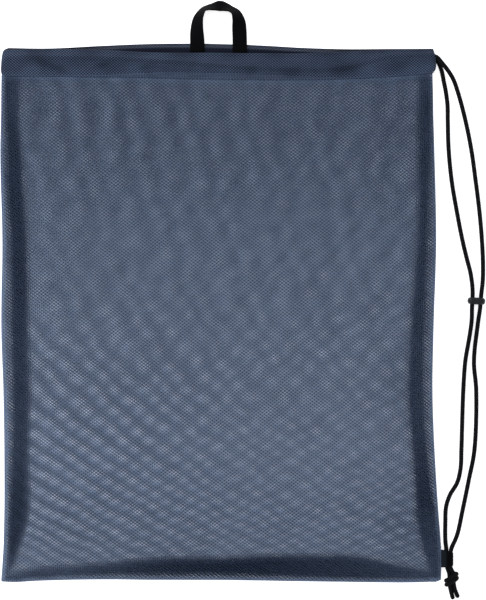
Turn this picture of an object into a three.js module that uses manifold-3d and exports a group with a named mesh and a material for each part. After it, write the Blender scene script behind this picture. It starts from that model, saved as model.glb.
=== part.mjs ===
// Mesh swim bag, laid flat with its back on the surface. Two mesh panels are sewn together on three sides, and
// a turned hem round the mouth is the channel of a drawcord. Both strands of the cord leave the channel at the
// right, pass a two-hole stopper and a webbing tab in the side seam, and end in one knot.
import * as THREE from "three";
import { mergeVertices } from "three/addons/utils/BufferGeometryUtils.js";
import Module from "manifold-3d";

const wasm = await Module();
wasm.setup();

// Sizes in millimetres. X runs across the bag, Y from its bottom to its mouth, and Z up from the surface.
const CLOTH = 1.2; // one layer of mesh
const CLEAR = 0.3; // gap between pieces that are sewn together or touch
const CROWN = 13.5; // how far the front panel stands over its seams
const CROWN_RUN = 80; // distance from a seam in which it rises that far
const CROWN_POWER = 2.6; // how steeply it leaves the seam
const MOUTH_RUN = 45; // length over which both panels rise to the channel's stitch line
const FOLD_RUN = 90; // length over which a fold of the front panel fades out at its foot
const FOLD_HEAD = 16; // and at the stitch line

const CHANNEL_HEIGHT = 28; // stitch line to fold, as the section is drawn
const CHANNEL_THICK = 6.6;
const CHANNEL_WALL = 1.0;
const CHANNEL_EDGE = 2.2; // two walls sewn flat at the stitch line
const BACK_CHANNEL = 31.6; // stitch line to fold on the back
const TURN_STEPS = 6; // half turn of the channel round the left side seam
const TURN_DROP = 5; // how far the fold drops there, which rounds the corner
const END_INSET = 4; // how far the fold draws back at the channel's open right end
const END_ROUND = 0.55; // share of the way up to the fold where that starts

const SEAM_THICK = 1.2;
const SEAM_START = 6; // from the bag's edge to the outer side of a seam allowance
const SEAM_INNER = { left: 26, right: 23, bottom: 17 }; // from the bag's edge to its inner side
const SEAM_SIDES = { low: -272, high: 212 }; // Y of both ends of the side seams' allowances
const SEAM_BOTTOM = { low: -229, high: 236 }; // X of both ends of the bottom seam's allowance

const WEBBING = 16; // hang loop's width
const WEBBING_THICK = 1.5;
const LOOP_STEPS = 4; // steps of the hang loop from one row of its table to the next
const TAB_WIDTH = 19.4; // along the seam
const TAB_Y = -269.3;
const TAB_THICK = 1.2;
const TAB_TAIL = 5; // length caught between the panels
const TAB_BORE = 2.75; // radius of the tab's hold on each strand
const TAB_STRANDS = [[252.6, 3.98], [255.9, 6.9]]; // X and Z of the strands in it, the lower one first

const CORD = 4.0;
const CORD_SIDES = 8;
const CORD_END = 232.0; // X where the run inside the channel meets the free strands
const CORD_SEAT = CHANNEL_WALL + CLEAR + CORD / 2; // cord's middle above the channel's inner face

const STOPPER = { width: 19.2, height: 10, length: 6.8, bore: 2.65, spacing: 9.2, round: 1.5, turn: -3.2 };
const STOPPER_AT = { x: 284.3, y: 14.3, z: 5.05 };
const KNOT = { x: 256.7, y: -290.4, z: 6.0, wrap: 5.2, cord: 2.1, flat: 0.74, slant: 30 };

// The bag's outline: both side edges at a height, the bottom edge at a place across, and round the mouth the
// stitch line, the folds of the front and back hem and the gap between them.
const SIDE_EDGES = [
  { y: -292, left: -238.7, right: 245.3 },
  { y: -260, left: -236.5, right: 245.3 },
  { y: -216, left: -235.4, right: 242.0 },
  { y: -150, left: -235.4, right: 237.6 },
  { y: -84, left: -236.5, right: 235.4 },
  { y: -17, left: -238.7, right: 236.5 },
  { y: 81, left: -237.6, right: 239.8 },
  { y: 180, left: -239.8, right: 237.6 },
  { y: 262, left: -237.6, right: 235.4 },
];
const BOTTOM_EDGE = [
  { x: -239, y: -293.7 },
  { x: -196, y: -292.6 },
  { x: -108, y: -290.4 },
  { x: 0, y: -292.0 },
  { x: 112, y: -292.8 },
  { x: 200, y: -294.8 },
  { x: 245, y: -292.6 },
];
const MOUTH = [
  { x: -230.4, stitch: 261.0, frontFold: 290.4, backFold: 292.6, gap: 1.2 },
  { x: -190, stitch: 260.5, frontFold: 290.4, backFold: 292.0, gap: 3.6 },
  { x: -130, stitch: 259.5, frontFold: 289.6, backFold: 294.8, gap: 5.6 },
  { x: -75, stitch: 258.5, frontFold: 286.6, backFold: 297.0, gap: 6.5 },
  { x: 0, stitch: 257.0, frontFold: 286.0, backFold: 297.0, gap: 6.5 },
  { x: 50, stitch: 256.3, frontFold: 286.0, backFold: 295.4, gap: 6.5 },
  { x: 92, stitch: 256.3, frontFold: 287.2, backFold: 292.6, gap: 5.6 },
  { x: 135, stitch: 257.4, frontFold: 290.4, backFold: 291.5, gap: 4.2 },
  { x: 190, stitch: 260.4, frontFold: 290.8, backFold: 291.5, gap: 2.2 },
  { x: 240.9, stitch: 264.8, frontFold: 290.4, backFold: 291.0, gap: 0.3 },
];
// Grid of each panel: the first columns from a side edge, the longest step across, the rows from the bottom
// edge and the longest step up. The columns between are the mouth's own stations.
const FRONT_GRID = {
  edge: [0, 3.6, 7.2, 14, 26],
  across: 22,
  rows: [0, 4, 13, 23, 33.5, 43, 62, 505, 520, 535, 550],
  up: 32,
};
const BACK_GRID = { edge: [0, 7.2, 26], across: 62, rows: [0, 20, 510, 525, 540, 555], up: 62 };
// Soft upright folds that hang from the stitch line of the front panel: place, lower end, height, half width.
const FOLDS = [
  { x: -190, foot: 150, rise: 2.2, width: 12 },
  { x: -150, foot: 95, rise: 2.8, width: 13 },
  { x: -112, foot: 110, rise: 2.6, width: 12 },
  { x: -75, foot: 130, rise: 2.6, width: 12 },
  { x: -19, foot: 70, rise: 2.2, width: 13 },
  { x: 33, foot: 150, rise: 1.6, width: 13 },
  { x: 113, foot: 170, rise: 1.6, width: 16 },
  { x: 172, foot: 140, rise: 2.0, width: 15 },
];
// Cord's place inside the channel, as a share of the way from the stitch line to the fold.
const CHANNEL_ROUTE = [
  { x: -230.4, front: 0.78, back: 0.31 },
  { x: -190, front: 0.77, back: 0.36 },
  { x: -130, front: 0.74, back: 0.44 },
  { x: -75, front: 0.7, back: 0.52 },
  { x: 50, front: 0.4, back: 0.5 },
  { x: 135, front: 0.36, back: 0.6 },
  { x: 190, front: 0.73, back: 0.7 },
  { x: CORD_END, front: 0.732, back: 0.732 },
];
// Webbing of the hang loop, from the foot of its left leg over the top to the foot of its right leg: the
// middle of the band and how far its upper face leans outwards, in degrees.
const LOOP = [
  { x: -23.1, y: 272, z: 7.65, lean: 0 },
  { x: -23.1, y: 298.4, z: 7.65, lean: 0 },
  { x: -23.3, y: 309, z: 7.7, lean: 16 },
  { x: -23.0, y: 317.8, z: 7.6, lean: 34 },
  { x: -21.4, y: 325.4, z: 7.7, lean: 52 },
  { x: -18.8, y: 331.0, z: 7.9, lean: 68 },
  { x: -14.9, y: 335.0, z: 7.9, lean: 72 },
  { x: -9.2, y: 337.5, z: 7.2, lean: 56 },
  { x: -3.2, y: 338.6, z: 5.9, lean: 40 },
  { x: 2.6, y: 338.8, z: 5.0, lean: 31 },
  { x: 8.6, y: 337.6, z: 5.9, lean: 40 },
  { x: 14.3, y: 335.5, z: 7.2, lean: 56 },
  { x: 18.9, y: 332.4, z: 7.9, lean: 71 },
  { x: 21.9, y: 327.6, z: 7.8, lean: 54 },
  { x: 23.0, y: 320.8, z: 7.6, lean: 30 },
  { x: 23.2, y: 311.5, z: 7.7, lean: 10 },
  { x: 23.2, y: 298.4, z: 7.65, lean: 0 },
  { x: 23.2, y: 272, z: 7.65, lean: 0 },
];
// Routes of both free strands from the channel's right end to the knot, as X, Y and Z of the cord's middle.
const OUTER_STRAND = [
  [232.3, 283.4, 10.53],
  [236.0, 283.2, 10.4],
  [240.4, 281.6, 10.15],
  [247.3, 275.6, 9.5],
  [254.1, 268.2, 7.9],
  [259.8, 258.5, 5.4],
  [264.2, 244.0, 3.0],
  [271.7, 213.4, 2.05],
  [278.3, 180.4, 2.05],
  [282.9, 147.4, 2.05],
  [287.0, 114.4, 2.05],
  [289.9, 81.4, 2.05],
  [291.2, 54.0, 2.2],
  [291.0, 36.0, 3.2],
  [289.6, 23.0, 4.6],
  [288.9, 14.3, 5.05],
  [288.3, 6.0, 4.7],
  [286.4, -6.6, 3.5],
  [284.6, -20.0, 2.4],
  [282.4, -37.4, 2.05],
  [281.3, -56.0, 2.05],
  [283.0, -83.6, 2.05],
  [280.9, -149.6, 2.05],
  [275.2, -182.6, 2.05],
  [268.2, -215.6, 2.3],
  [261.2, -243.0, 5.2],
  [256.3, -259.0, 6.8],
  [255.9, -269.0, 6.9],
  [256.4, -279.0, 6.7],
  [258.2, -284.0, 6.3],
];
const INNER_STRAND = [
  [232.3, 282.6, 3.3],
  [235.8, 282.4, 3.3],
  [239.6, 280.4, 3.25],
  [243.2, 275.2, 3.0],
  [245.9, 266.8, 2.4],
  [248.2, 256.5, 2.05],
  [249.8, 245.0, 2.05],
  [251.8, 213.4, 2.05],
  [253.2, 182.0, 2.05],
  [256.5, 147.4, 2.05],
  [262.0, 114.4, 2.05],
  [268.4, 81.4, 2.05],
  [273.0, 62.0, 2.2],
  [277.3, 45.0, 2.9],
  [279.6, 30.0, 4.2],
  [280.0, 21.5, 4.8],
  [279.7, 14.3, 5.05],
  [279.4, 6.5, 4.8],
  [279.2, -6.6, 3.6],
  [277.6, -20.0, 2.4],
  [274.8, -35.0, 2.05],
  [271.6, -52.0, 2.05],
  [269.4, -83.6, 2.05],
  [267.0, -149.6, 2.05],
  [266.2, -170.0, 2.05],
  [262.5, -185.6, 2.05],
  [254.6, -199.5, 2.05],
  [250.8, -212.6, 2.05],
  [250.3, -229.4, 2.3],
  [251.3, -248.6, 3.6],
  [252.3, -260.0, 4.0],
  [252.7, -269.0, 4.0],
  [253.0, -279.0, 4.3],
  [254.0, -284.0, 5.4],
];
// The two cut ends below the knot.
const TAILS = [
  [[255.6, -291, 6.0], [254.7, -297.5, 4.9], [256.0, -305.0, 2.8], [257.3, -311.8, 2.15]],
  [[258.4, -290, 6.0], [259.4, -296.5, 4.6], [261.8, -303.4, 2.7], [264.2, -309.6, 2.15]],
];

const { clamp, degToRad, lerp, smoothstep } = THREE.MathUtils;

// A table's column at a place between two of its rows, in a straight line from row to row.
function along(table, key, at, column) {
  const found = table.findIndex((row) => row[key] > at);
  const after = found < 0 ? table.length - 1 : Math.max(found, 1);
  const [low, high] = [table[after - 1], table[after]];
  return lerp(low[column], high[column], clamp((at - low[key]) / (high[key] - low[key]), 0, 1));
}

// Vertices without normals or texture places, joined where they meet.
function welded(geometry) {
  const bare = new THREE.BufferGeometry().setAttribute("position", geometry.getAttribute("position"));
  return mergeVertices(geometry.index ? bare.setIndex(geometry.index) : bare, 1e-3);
}

function toSolid(geometry) {
  const mesh = welded(geometry);
  const vertProperties = new Float32Array(mesh.getAttribute("position").array);
  const triVerts = new Uint32Array(mesh.index.array);
  return new wasm.Manifold(new wasm.Mesh({ numProp: 3, vertProperties, triVerts }));
}

function toGeometry(solid) {
  const mesh = solid.getMesh();
  const position = new THREE.BufferAttribute(new Float32Array(mesh.vertProperties), 3);
  const index = new THREE.BufferAttribute(new Uint32Array(mesh.triVerts), 1);
  return new THREE.BufferGeometry().setAttribute("position", position).setIndex(index);
}

// Moves each vertex of a geometry to the point that place() gives for it.
function mapped(geometry, place) {
  const position = geometry.getAttribute("position");
  const point = new THREE.Vector3();
  for (let i = 0; i < position.count; i += 1) {
    point.fromBufferAttribute(position, i);
    position.setXYZ(i, ...place(point.x, point.y, point.z));
  }
  return geometry;
}

// A section carried through stations: frame() gives the place of the section's x and y at a station.
function swept(shape, stations, frame) {
  const steps = stations.length - 1;
  const geometry = new THREE.ExtrudeGeometry(shape, { depth: steps, steps, bevelEnabled: false });
  return mapped(geometry, (x, y, k) => frame(stations[Math.round(k)], x, y));
}

function polygon(points) {
  return new THREE.Shape(points.map(([x, y]) => new THREE.Vector2(x, y)));
}

function rectangle(width, thick) {
  const [x, y] = [width / 2, thick / 2];
  return polygon([[-x, -y], [x, -y], [x, y], [-x, y]]);
}

// A cord's route whose steps are its own points, short where it turns and long where it runs straight.
class CordRoute extends THREE.CatmullRomCurve3 {
  getUtoTmapping(u) {
    return u;
  }
}

const cordRoute = (points) => new CordRoute(points.map((point) => new THREE.Vector3(...point)));

function cordTube(points) {
  const ring = Array.from({ length: CORD_SIDES }, (_, i) => {
    const angle = (2 * Math.PI * i) / CORD_SIDES;
    return [(CORD / 2) * Math.cos(angle), (CORD / 2) * Math.sin(angle)];
  });
  const steps = points.length - 1;
  return new THREE.ExtrudeGeometry(polygon(ring), { steps, extrudePath: cordRoute(points) });
}

// Two half circles round a pair of points, joined by straight sides.
function stadium(path, from, to, radius) {
  const angle = Math.atan2(to[1] - from[1], to[0] - from[0]);
  path.absarc(to[0], to[1], radius, angle - Math.PI / 2, angle + Math.PI / 2);
  path.absarc(from[0], from[1], radius, angle + Math.PI / 2, angle + 1.5 * Math.PI);
  return path.closePath();
}

// Places from the first to the last of a list, with steps added between that are no longer than the most.
function subdivided(places, most) {
  const steps = places.slice(1).flatMap((to, i) => {
    const count = Math.ceil((to - places[i]) / most - 1e-6);
    return Array.from({ length: count }, (_, k) => lerp(places[i], to, (k + 1) / count));
  });
  return [places[0], ...steps];
}

// The bag's edges.
const leftEdge = (y) => along(SIDE_EDGES, "y", y, "left");
const rightEdge = (y) => along(SIDE_EDGES, "y", y, "right");
const bottomEdge = (x) => along(BOTTOM_EDGE, "x", x, "y");
const frontStitch = (x) => along(MOUTH, "x", x, "stitch");
const backStitch = (x) => along(MOUTH, "x", x, "backFold") - BACK_CHANNEL;
const mouthGap = (x) => along(MOUTH, "x", x, "gap");

// Underside of the back panel: flat on the surface, and lifted to the channel's stitch line at the mouth.
function backHeight(x, y) {
  const lift = CHANNEL_THICK - (CHANNEL_EDGE + CLOTH) / 2;
  return lift * smoothstep(y, backStitch(x) - MOUTH_RUN, backStitch(x));
}

// The front panel gives way over the tail of the cord's tab where that is caught in the right seam.
function tabLift(y, fromRight) {
  const beside = Math.abs(y - TAB_Y) - TAB_WIDTH / 2;
  const near = (1 - smoothstep(beside, 1, 9)) * (1 - smoothstep(fromRight, TAB_TAIL, 30));
  return (2 * TAB_THICK + CLEAR) * near;
}

function foldHeight(x, y) {
  const heights = FOLDS.map(({ x: middle, foot, rise, width }) => {
    const fade = smoothstep(y, foot, foot + FOLD_RUN);
    return rise * fade * Math.exp(-(((x - middle) / width) ** 2));
  });
  return heights.reduce((sum, height) => sum + height, 0);
}

// Underside of the front panel: it leaves the seams steeply, is crowned between and ends at the stitch line.
function frontHeight(x, y) {
  const fromLeft = Math.max(x - leftEdge(y), 0);
  const fromRight = Math.max(rightEdge(y) - x, 0);
  const side = Math.min(fromLeft, fromRight);
  const bottom = Math.max(y - bottomEdge(x), 0);
  const inward = (side * bottom) / Math.max(Math.hypot(side, bottom), 1e-6);
  const risen = 1 - (1 - Math.min(inward / CROWN_RUN, 1)) ** CROWN_POWER;
  const seam = backHeight(x, y) + CLOTH + CLEAR + tabLift(y, fromRight);
  const sewn = CHANNEL_THICK + mouthGap(x) + (CHANNEL_EDGE - CLOTH) / 2;
  const stitch = frontStitch(x);
  const lying = lerp(seam + CROWN * risen, sewn, smoothstep(y, stitch - MOUTH_RUN, stitch));
  return lying + foldHeight(x, y) * risen * (1 - smoothstep(y, stitch - FOLD_HEAD, stitch));
}

// One layer of mesh between the bag's edges. Its columns are places across the mouth, its rows places up the
// bag from the bottom edge, and both are closer together along the seams.
function panelGeometry(layout, stitch, height) {
  const mouth = SIDE_EDGES.at(-1);
  const leftSteps = layout.edge.map((step) => mouth.left + step);
  const rightSteps = layout.edge.map((step) => mouth.right - step).reverse();
  const between = MOUTH.map((row) => row.x).filter((x) => x > leftSteps.at(-1) && x < rightSteps[0]);
  const columns = subdivided([...leftSteps, ...between, ...rightSteps], layout.across);
  const rows = subdivided(layout.rows, layout.up);
  const [width, length] = [columns.length - 1, rows.length - 1];
  const grid = new THREE.BoxGeometry(width, length, 1, width, length, 1);
  return mapped(grid, (i, j, face) => {
    const column = columns[Math.round(i + width / 2)];
    const up = rows[Math.round(j + length / 2)] / rows.at(-1);
    const y = lerp(bottomEdge(column), stitch(column) - CLEAR, up);
    const x = lerp(leftEdge(y), rightEdge(y), (column - mouth.left) / (mouth.right - mouth.left));
    return [x, y, height(x, y) + (face > 0 ? CLOTH : 0)];
  });
}

// The channel's section: flat inner wall, outer wall bulged by the cord, and both walls sewn flat at the
// stitch line. It is drawn from the stitch line (first number) and out from the inner face (second number).
function channelSection() {
  const high = CHANNEL_HEIGHT;
  const thick = CHANNEL_THICK;
  const wall = CHANNEL_WALL;
  const outline = polygon([
    [0, 0], [high - 1.6, 0], [high - 0.4, 0.7], [high, 2.2], [high - 0.4, 4.2], [high - 1.9, 5.8],
    [high - 4.6, thick], [high / 2, thick], [8, thick], [5.4, 5.9], [3.2, 4.4], [1.6, 3.0],
    [0, CHANNEL_EDGE],
  ]);
  outline.holes.push(new THREE.Path([
    [3.4, wall], [4.5, 3.4], [6.4, 5.0], [8.4, thick - wall], [high - 5, thick - wall],
    [high - 2.6, 4.9], [high - 1.3, 3.7], [high - 1.1, 2.4], [high - 1.9, wall],
  ].map(([x, y]) => new THREE.Vector2(x, y))));
  return outline;
}

// Stations of the channel from the right end of its back run, round the left side seam, to the right end of
// its front run: a point of the inner face, the way out from it, and the stitch line and fold there.
function channelStations() {
  const run = (row, side) => ({
    x: row.x,
    z: CHANNEL_THICK + (side > 0 ? row.gap : 0),
    out: [0, side],
    stitch: side > 0 ? row.stitch : row.backFold - BACK_CHANNEL,
    fold: side > 0 ? row.frontFold : row.backFold,
  });
  const back = MOUTH.map((row) => run(row, -1)).reverse();
  const front = MOUTH.map((row) => run(row, 1));
  const [low, high] = [back.at(-1), front[0]];
  const radius = MOUTH[0].gap / 2;
  const turn = Array.from({ length: TURN_STEPS - 1 }, (_, i) => {
    const share = (i + 1) / TURN_STEPS;
    const out = [-Math.sin(Math.PI * share), -Math.cos(Math.PI * share)];
    return {
      x: low.x + radius * out[0],
      z: (low.z + high.z) / 2 + radius * out[1],
      out,
      stitch: lerp(low.stitch, high.stitch, share),
      fold: lerp(low.fold, high.fold, share) - TURN_DROP * Math.sin(Math.PI * share),
    };
  });
  return [...back, ...turn, ...front];
}

function mouthChannel() {
  const openEnd = MOUTH.at(-1).x;
  return swept(channelSection(), channelStations(), (at, up, out) => {
    const share = up / CHANNEL_HEIGHT;
    const drawn = (Math.max(share - END_ROUND, 0) / (1 - END_ROUND)) ** 2;
    const inset = at.x === openEnd ? END_INSET * drawn : 0;
    const y = lerp(at.stitch, at.fold, share);
    return [at.x + out * at.out[0] - inset, y, at.z + out * at.out[1]];
  });
}

// A seam allowance: a flat strip inside the bag along one sewn edge, on the back panel.
function seamStrip(inner, stations, place) {
  const width = inner - SEAM_START;
  const z = CLOTH + CLEAR + SEAM_THICK / 2;
  return swept(rectangle(width, SEAM_THICK), stations, (at, across, up) => {
    const [x, y] = place(at, SEAM_START + width / 2 + across);
    return [x, y, z + up];
  });
}

const sideStations = () => SIDE_EDGES.map((row) => clamp(row.y, SEAM_SIDES.low, SEAM_SIDES.high));

function leftSeam() {
  return seamStrip(SEAM_INNER.left, sideStations().reverse(), (y, inward) => [leftEdge(y) + inward, y]);
}

function rightSeam() {
  return seamStrip(SEAM_INNER.right, sideStations(), (y, inward) => [rightEdge(y) - inward, y]);
}

function bottomSeam() {
  const stations = BOTTOM_EDGE.map((row) => clamp(row.x, SEAM_BOTTOM.low, SEAM_BOTTOM.high));
  return seamStrip(SEAM_INNER.bottom, stations, (x, inward) => [x, bottomEdge(x) + inward]);
}

// Stations of the hang loop: a smooth line through its table, in steps short enough for the band's twist.
function loopStations() {
  const line = cordRoute(LOOP.map(({ x, y, z }) => [x, y, z]));
  const steps = (LOOP.length - 1) * LOOP_STEPS;
  return Array.from({ length: steps + 1 }, (_, k) => {
    const row = Math.min(Math.floor(k / LOOP_STEPS), LOOP.length - 2);
    const heading = line.getTangent(k / steps);
    return {
      place: line.getPoint(k / steps),
      heading: Math.atan2(heading.y, heading.x),
      lean: degToRad(lerp(LOOP[row].lean, LOOP[row + 1].lean, k / LOOP_STEPS - row)),
    };
  });
}

// Webbing of the hang loop: flat legs on the back hem, on edge at the shoulders and half open at the top.
function hangLoop() {
  return swept(rectangle(WEBBING, WEBBING_THICK), loopStations(), ({ place, heading, lean }, across, up) => {
    const outward = across * Math.cos(lean) + up * Math.sin(lean);
    const rise = up * Math.cos(lean) - across * Math.sin(lean);
    return [place.x - Math.sin(heading) * outward, place.y + Math.cos(heading) * outward, place.z + rise];
  });
}

// Webbing tab: a loop round both strands whose two ends lie together in the right side seam.
function cordTab() {
  const edge = rightEdge(TAB_Y);
  const tailEnd = TAB_STRANDS[0][0] - TAB_BORE - TAB_THICK / 2;
  const foot = CLOTH + CLEAR;
  const head = foot + 2 * TAB_THICK;
  const depth = { depth: TAB_WIDTH, bevelEnabled: false, curveSegments: 10 };
  const tail = polygon([[edge - TAB_TAIL, foot], [tailEnd, foot], [tailEnd, head], [edge - TAB_TAIL, head]]);
  const loop = stadium(new THREE.Shape(), ...TAB_STRANDS, TAB_BORE + TAB_THICK);
  const bore = stadium(new THREE.Shape(), ...TAB_STRANDS, TAB_BORE);
  const [tailSolid, loopSolid, boreSolid] = [tail, loop, bore].map((shape) =>
    toSolid(new THREE.ExtrudeGeometry(shape, depth)));
  return toGeometry(tailSolid.add(loopSolid).subtract(boreSolid))
    .rotateX(Math.PI / 2)
    .translate(0, TAB_Y + TAB_WIDTH / 2, 0);
}

// The cord inside the channel: along the back run, round the left side seam in a rising half turn, and back.
function channelCord() {
  const height = (row, side) => {
    const mouth = (column) => along(MOUTH, "x", row.x, column);
    const [stitch, fold] = side === "front"
      ? [mouth("stitch"), mouth("frontFold")]
      : [mouth("backFold") - BACK_CHANNEL, mouth("backFold")];
    return lerp(stitch, fold, row[side]);
  };
  const back = CHANNEL_ROUTE.map((row) =>
    [row.x, height(row, "back"), CHANNEL_THICK - CORD_SEAT]).reverse();
  const front = CHANNEL_ROUTE.map((row) =>
    [row.x, height(row, "front"), CHANNEL_THICK + mouthGap(row.x) + CORD_SEAT]);
  const radius = MOUTH[0].gap / 2 + CORD_SEAT;
  const middle = CHANNEL_THICK + MOUTH[0].gap / 2;
  const turn = Array.from({ length: TURN_STEPS - 1 }, (_, i) => {
    const share = (i + 1) / TURN_STEPS;
    const angle = Math.PI * share;
    return [
      MOUTH[0].x - radius * Math.sin(angle),
      lerp(back.at(-1)[1], front[0][1], share),
      middle - radius * Math.cos(angle),
    ];
  });
  return cordTube([...back, ...turn, ...front]);
}

// Two-hole slider with rounded edges, standing on its long side across both strands.
function cordStopper() {
  const { width, height, length, bore, spacing, round, turn } = STOPPER;
  const middle = (width - height) / 2;
  const outline = stadium(new THREE.Shape(), [-middle, 0], [middle, 0], height / 2);
  const block = new THREE.ExtrudeGeometry(outline, {
    depth: length - 2 * round,
    bevelThickness: round,
    bevelSize: round,
    bevelOffset: -round,
    bevelSegments: 3,
    curveSegments: 8,
  }).translate(0, 0, -length / 2 + round);
  const holes = [-spacing / 2, spacing / 2].map((x) =>
    new THREE.CylinderGeometry(bore, bore, 2 * length, 16).rotateX(Math.PI / 2).translate(x, 0, 0));
  return toGeometry(holes.map(toSolid).reduce((solid, hole) => solid.subtract(hole), toSolid(block)))
    .rotateX(Math.PI / 2)
    .rotateZ(degToRad(turn))
    .translate(STOPPER_AT.x, STOPPER_AT.y, STOPPER_AT.z);
}

// Knot of both strands: two turns of cord side by side, slanted across the strands that go in and their ends.
function cordKnot() {
  const { x, y, z, wrap, cord, flat, slant } = KNOT;
  const turns = [-1, 1].map((side) =>
    new THREE.TorusGeometry(wrap, cord, 8, 18)
      .translate(0, 0, side * cord * 0.95)
      .rotateX(Math.PI / 2)
      .rotateZ(degToRad(slant))
      .scale(1, 1, flat)
      .translate(x, y, z));
  const core = new THREE.SphereGeometry(wrap, 12, 8).scale(1, 1, flat).translate(x, y, z);
  const necks = [OUTER_STRAND, INNER_STRAND].map((route) => {
    const end = new THREE.Vector3(...route.at(-1));
    const heading = cordRoute(route).getTangent(1);
    const [face, inside] = [CLEAR, CORD].map((reach) => end.clone().addScaledVector(heading, reach));
    return cordTube([face.toArray(), inside.toArray(), [x, y, z]]);
  });
  const tails = TAILS.map((route) => cordTube(route));
  const solids = [...turns, core, ...necks, ...tails].map(toSolid);
  return toGeometry(solids.reduce((sum, solid) => sum.add(solid)));
}

function finish(color, roughness) {
  return new THREE.MeshStandardMaterial({ color, roughness, metalness: 0 });
}

const bag = new THREE.Group();

function addPiece(name, geometry, material) {
  const bare = welded(geometry);
  bare.computeVertexNormals();
  const mesh = new THREE.Mesh(bare, material);
  mesh.name = name;
  bag.add(mesh);
}

addPiece("back_panel", panelGeometry(BACK_GRID, backStitch, backHeight), finish(0x414d66, 0.8));
addPiece("front_panel", panelGeometry(FRONT_GRID, frontStitch, frontHeight), finish(0x4a5670, 0.8));
addPiece("mouth_channel", mouthChannel(), finish(0x3f4a63, 0.8));
addPiece("seam_left", leftSeam(), finish(0x242d42, 0.85));
addPiece("seam_right", rightSeam(), finish(0x242d42, 0.85));
addPiece("seam_bottom", bottomSeam(), finish(0x242d42, 0.85));
addPiece("hang_loop", hangLoop(), finish(0x101114, 0.7));
addPiece("cord_tab", cordTab(), finish(0x101114, 0.7));
addPiece("channel_cord", channelCord(), finish(0x121316, 0.75));
addPiece("drawcord_outer", cordTube(OUTER_STRAND), finish(0x121316, 0.75));
addPiece("drawcord_inner", cordTube(INNER_STRAND), finish(0x121316, 0.75));
addPiece("cord_stopper", cordStopper(), finish(0x1b1c1f, 0.4));
addPiece("cord_knot", cordKnot(), finish(0x121316, 0.75));

export default bag;
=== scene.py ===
import math

import bpy
import numpy as np
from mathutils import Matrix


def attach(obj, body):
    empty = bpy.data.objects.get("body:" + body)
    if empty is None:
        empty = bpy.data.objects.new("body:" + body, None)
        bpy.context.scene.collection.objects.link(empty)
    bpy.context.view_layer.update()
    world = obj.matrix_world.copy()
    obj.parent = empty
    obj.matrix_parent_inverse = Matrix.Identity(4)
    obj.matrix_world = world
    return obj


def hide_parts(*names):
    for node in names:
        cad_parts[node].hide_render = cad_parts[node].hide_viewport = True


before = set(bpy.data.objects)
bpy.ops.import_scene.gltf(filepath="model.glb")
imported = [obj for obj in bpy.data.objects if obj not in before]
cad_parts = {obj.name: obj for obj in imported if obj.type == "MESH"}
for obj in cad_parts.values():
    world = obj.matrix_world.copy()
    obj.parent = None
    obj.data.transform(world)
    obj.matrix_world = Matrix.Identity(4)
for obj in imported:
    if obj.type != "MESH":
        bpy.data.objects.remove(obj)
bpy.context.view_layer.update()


# Studio: the camera looks straight down at the bag from 2 m, and one pixel is 1.1 mm on the surface.
# The bag lies on a white light table, so the ground that shows through the mesh stays bright. Soft light
# comes from all round, and from one large lamp at the upper left.
MM = 0.001
VIEW_MIDDLE = (27.5 * MM, 15.4 * MM)
VIEW_LEVEL = 5 * MM
VIEW_HEIGHT = 660 * MM
VIEW_DISTANCE = 2.0
SENSOR = 36.0
GROUND_HALF = 4.0
GROUND_LEVEL = -0.4 * MM

camera_data = bpy.data.cameras.new("camera")
camera_data.sensor_width = SENSOR
camera_data.lens = SENSOR * VIEW_DISTANCE / VIEW_HEIGHT
camera = bpy.data.objects.new("camera", camera_data)
camera.location = (*VIEW_MIDDLE, VIEW_DISTANCE + VIEW_LEVEL)
bpy.context.scene.collection.objects.link(camera)
bpy.context.scene.camera = camera
bpy.context.scene.view_settings.view_transform = "Standard"


def linear(code):
    """An sRGB hex colour as linear red, green, blue and 1: straight near black, and a 2.4 power above."""
    part = np.array([int(code[i:i + 2], 16) for i in (1, 3, 5)]) / 255
    return (*np.where(part < 0.04045, part / 12.92, ((part + 0.055) / 1.055) ** 2.4), 1.0)


def add(tree, kind, inputs=(), out=None, **settings):
    """A new shader node with its settings and its inputs, each a value or another node's output to link.

    Gives back its output of that name, or else the first one that its settings leave in use.
    """
    made = tree.nodes.new("ShaderNode" + kind)
    for name, value in settings.items():
        setattr(made, name, value)
    for key, value in dict(inputs).items():
        if isinstance(value, bpy.types.NodeSocket):
            tree.links.new(value, made.inputs[key])
        else:
            made.inputs[key].default_value = value
    return made.outputs[out] if out else next((socket for socket in made.outputs if socket.enabled), None)


def new_material(name):
    """An empty material of that name, with the tree that its nodes go in."""
    material = bpy.data.materials.new(name)
    material.use_nodes = True
    material.node_tree.nodes.clear()
    return material, material.node_tree


world = bpy.data.worlds.new("soft_light")
world.use_nodes = True
sky = world.node_tree.nodes["Background"]
sky.inputs["Color"].default_value = linear("#f6f8ff")
sky.inputs["Strength"].default_value = 0.75
bpy.context.scene.world = world

lamp_data = bpy.data.lights.new("soft_box", "AREA")
lamp_data.size = 1.2
lamp_data.energy = 22
lamp = bpy.data.objects.new("soft_box", lamp_data)
lamp.location = (-1.3, 1.0, 1.5)
lamp.rotation_euler = (math.radians(-30), math.radians(-41), 0)
bpy.context.scene.collection.objects.link(lamp)

table_paint, tree = new_material("white_light_table")
table = add(tree, "BsdfPrincipled", {
    "Base Color": linear("#f4f4f4"),
    "Roughness": 0.8,
    "Emission Color": linear("#ffffff"),
    "Emission Strength": 0.75,
})
add(tree, "OutputMaterial", {"Surface": table})
ground_mesh = bpy.data.meshes.new("ground")
ground_mesh.from_pydata([
    (GROUND_HALF * x, GROUND_HALF * y, GROUND_LEVEL) for x, y in ((-1, -1), (1, -1), (1, 1), (-1, 1))],
    [], [(0, 1, 2, 3)])
ground_mesh.materials.append(table_paint)
ground = bpy.data.objects.new("ground", ground_mesh)
bpy.context.scene.collection.objects.link(ground)


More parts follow.
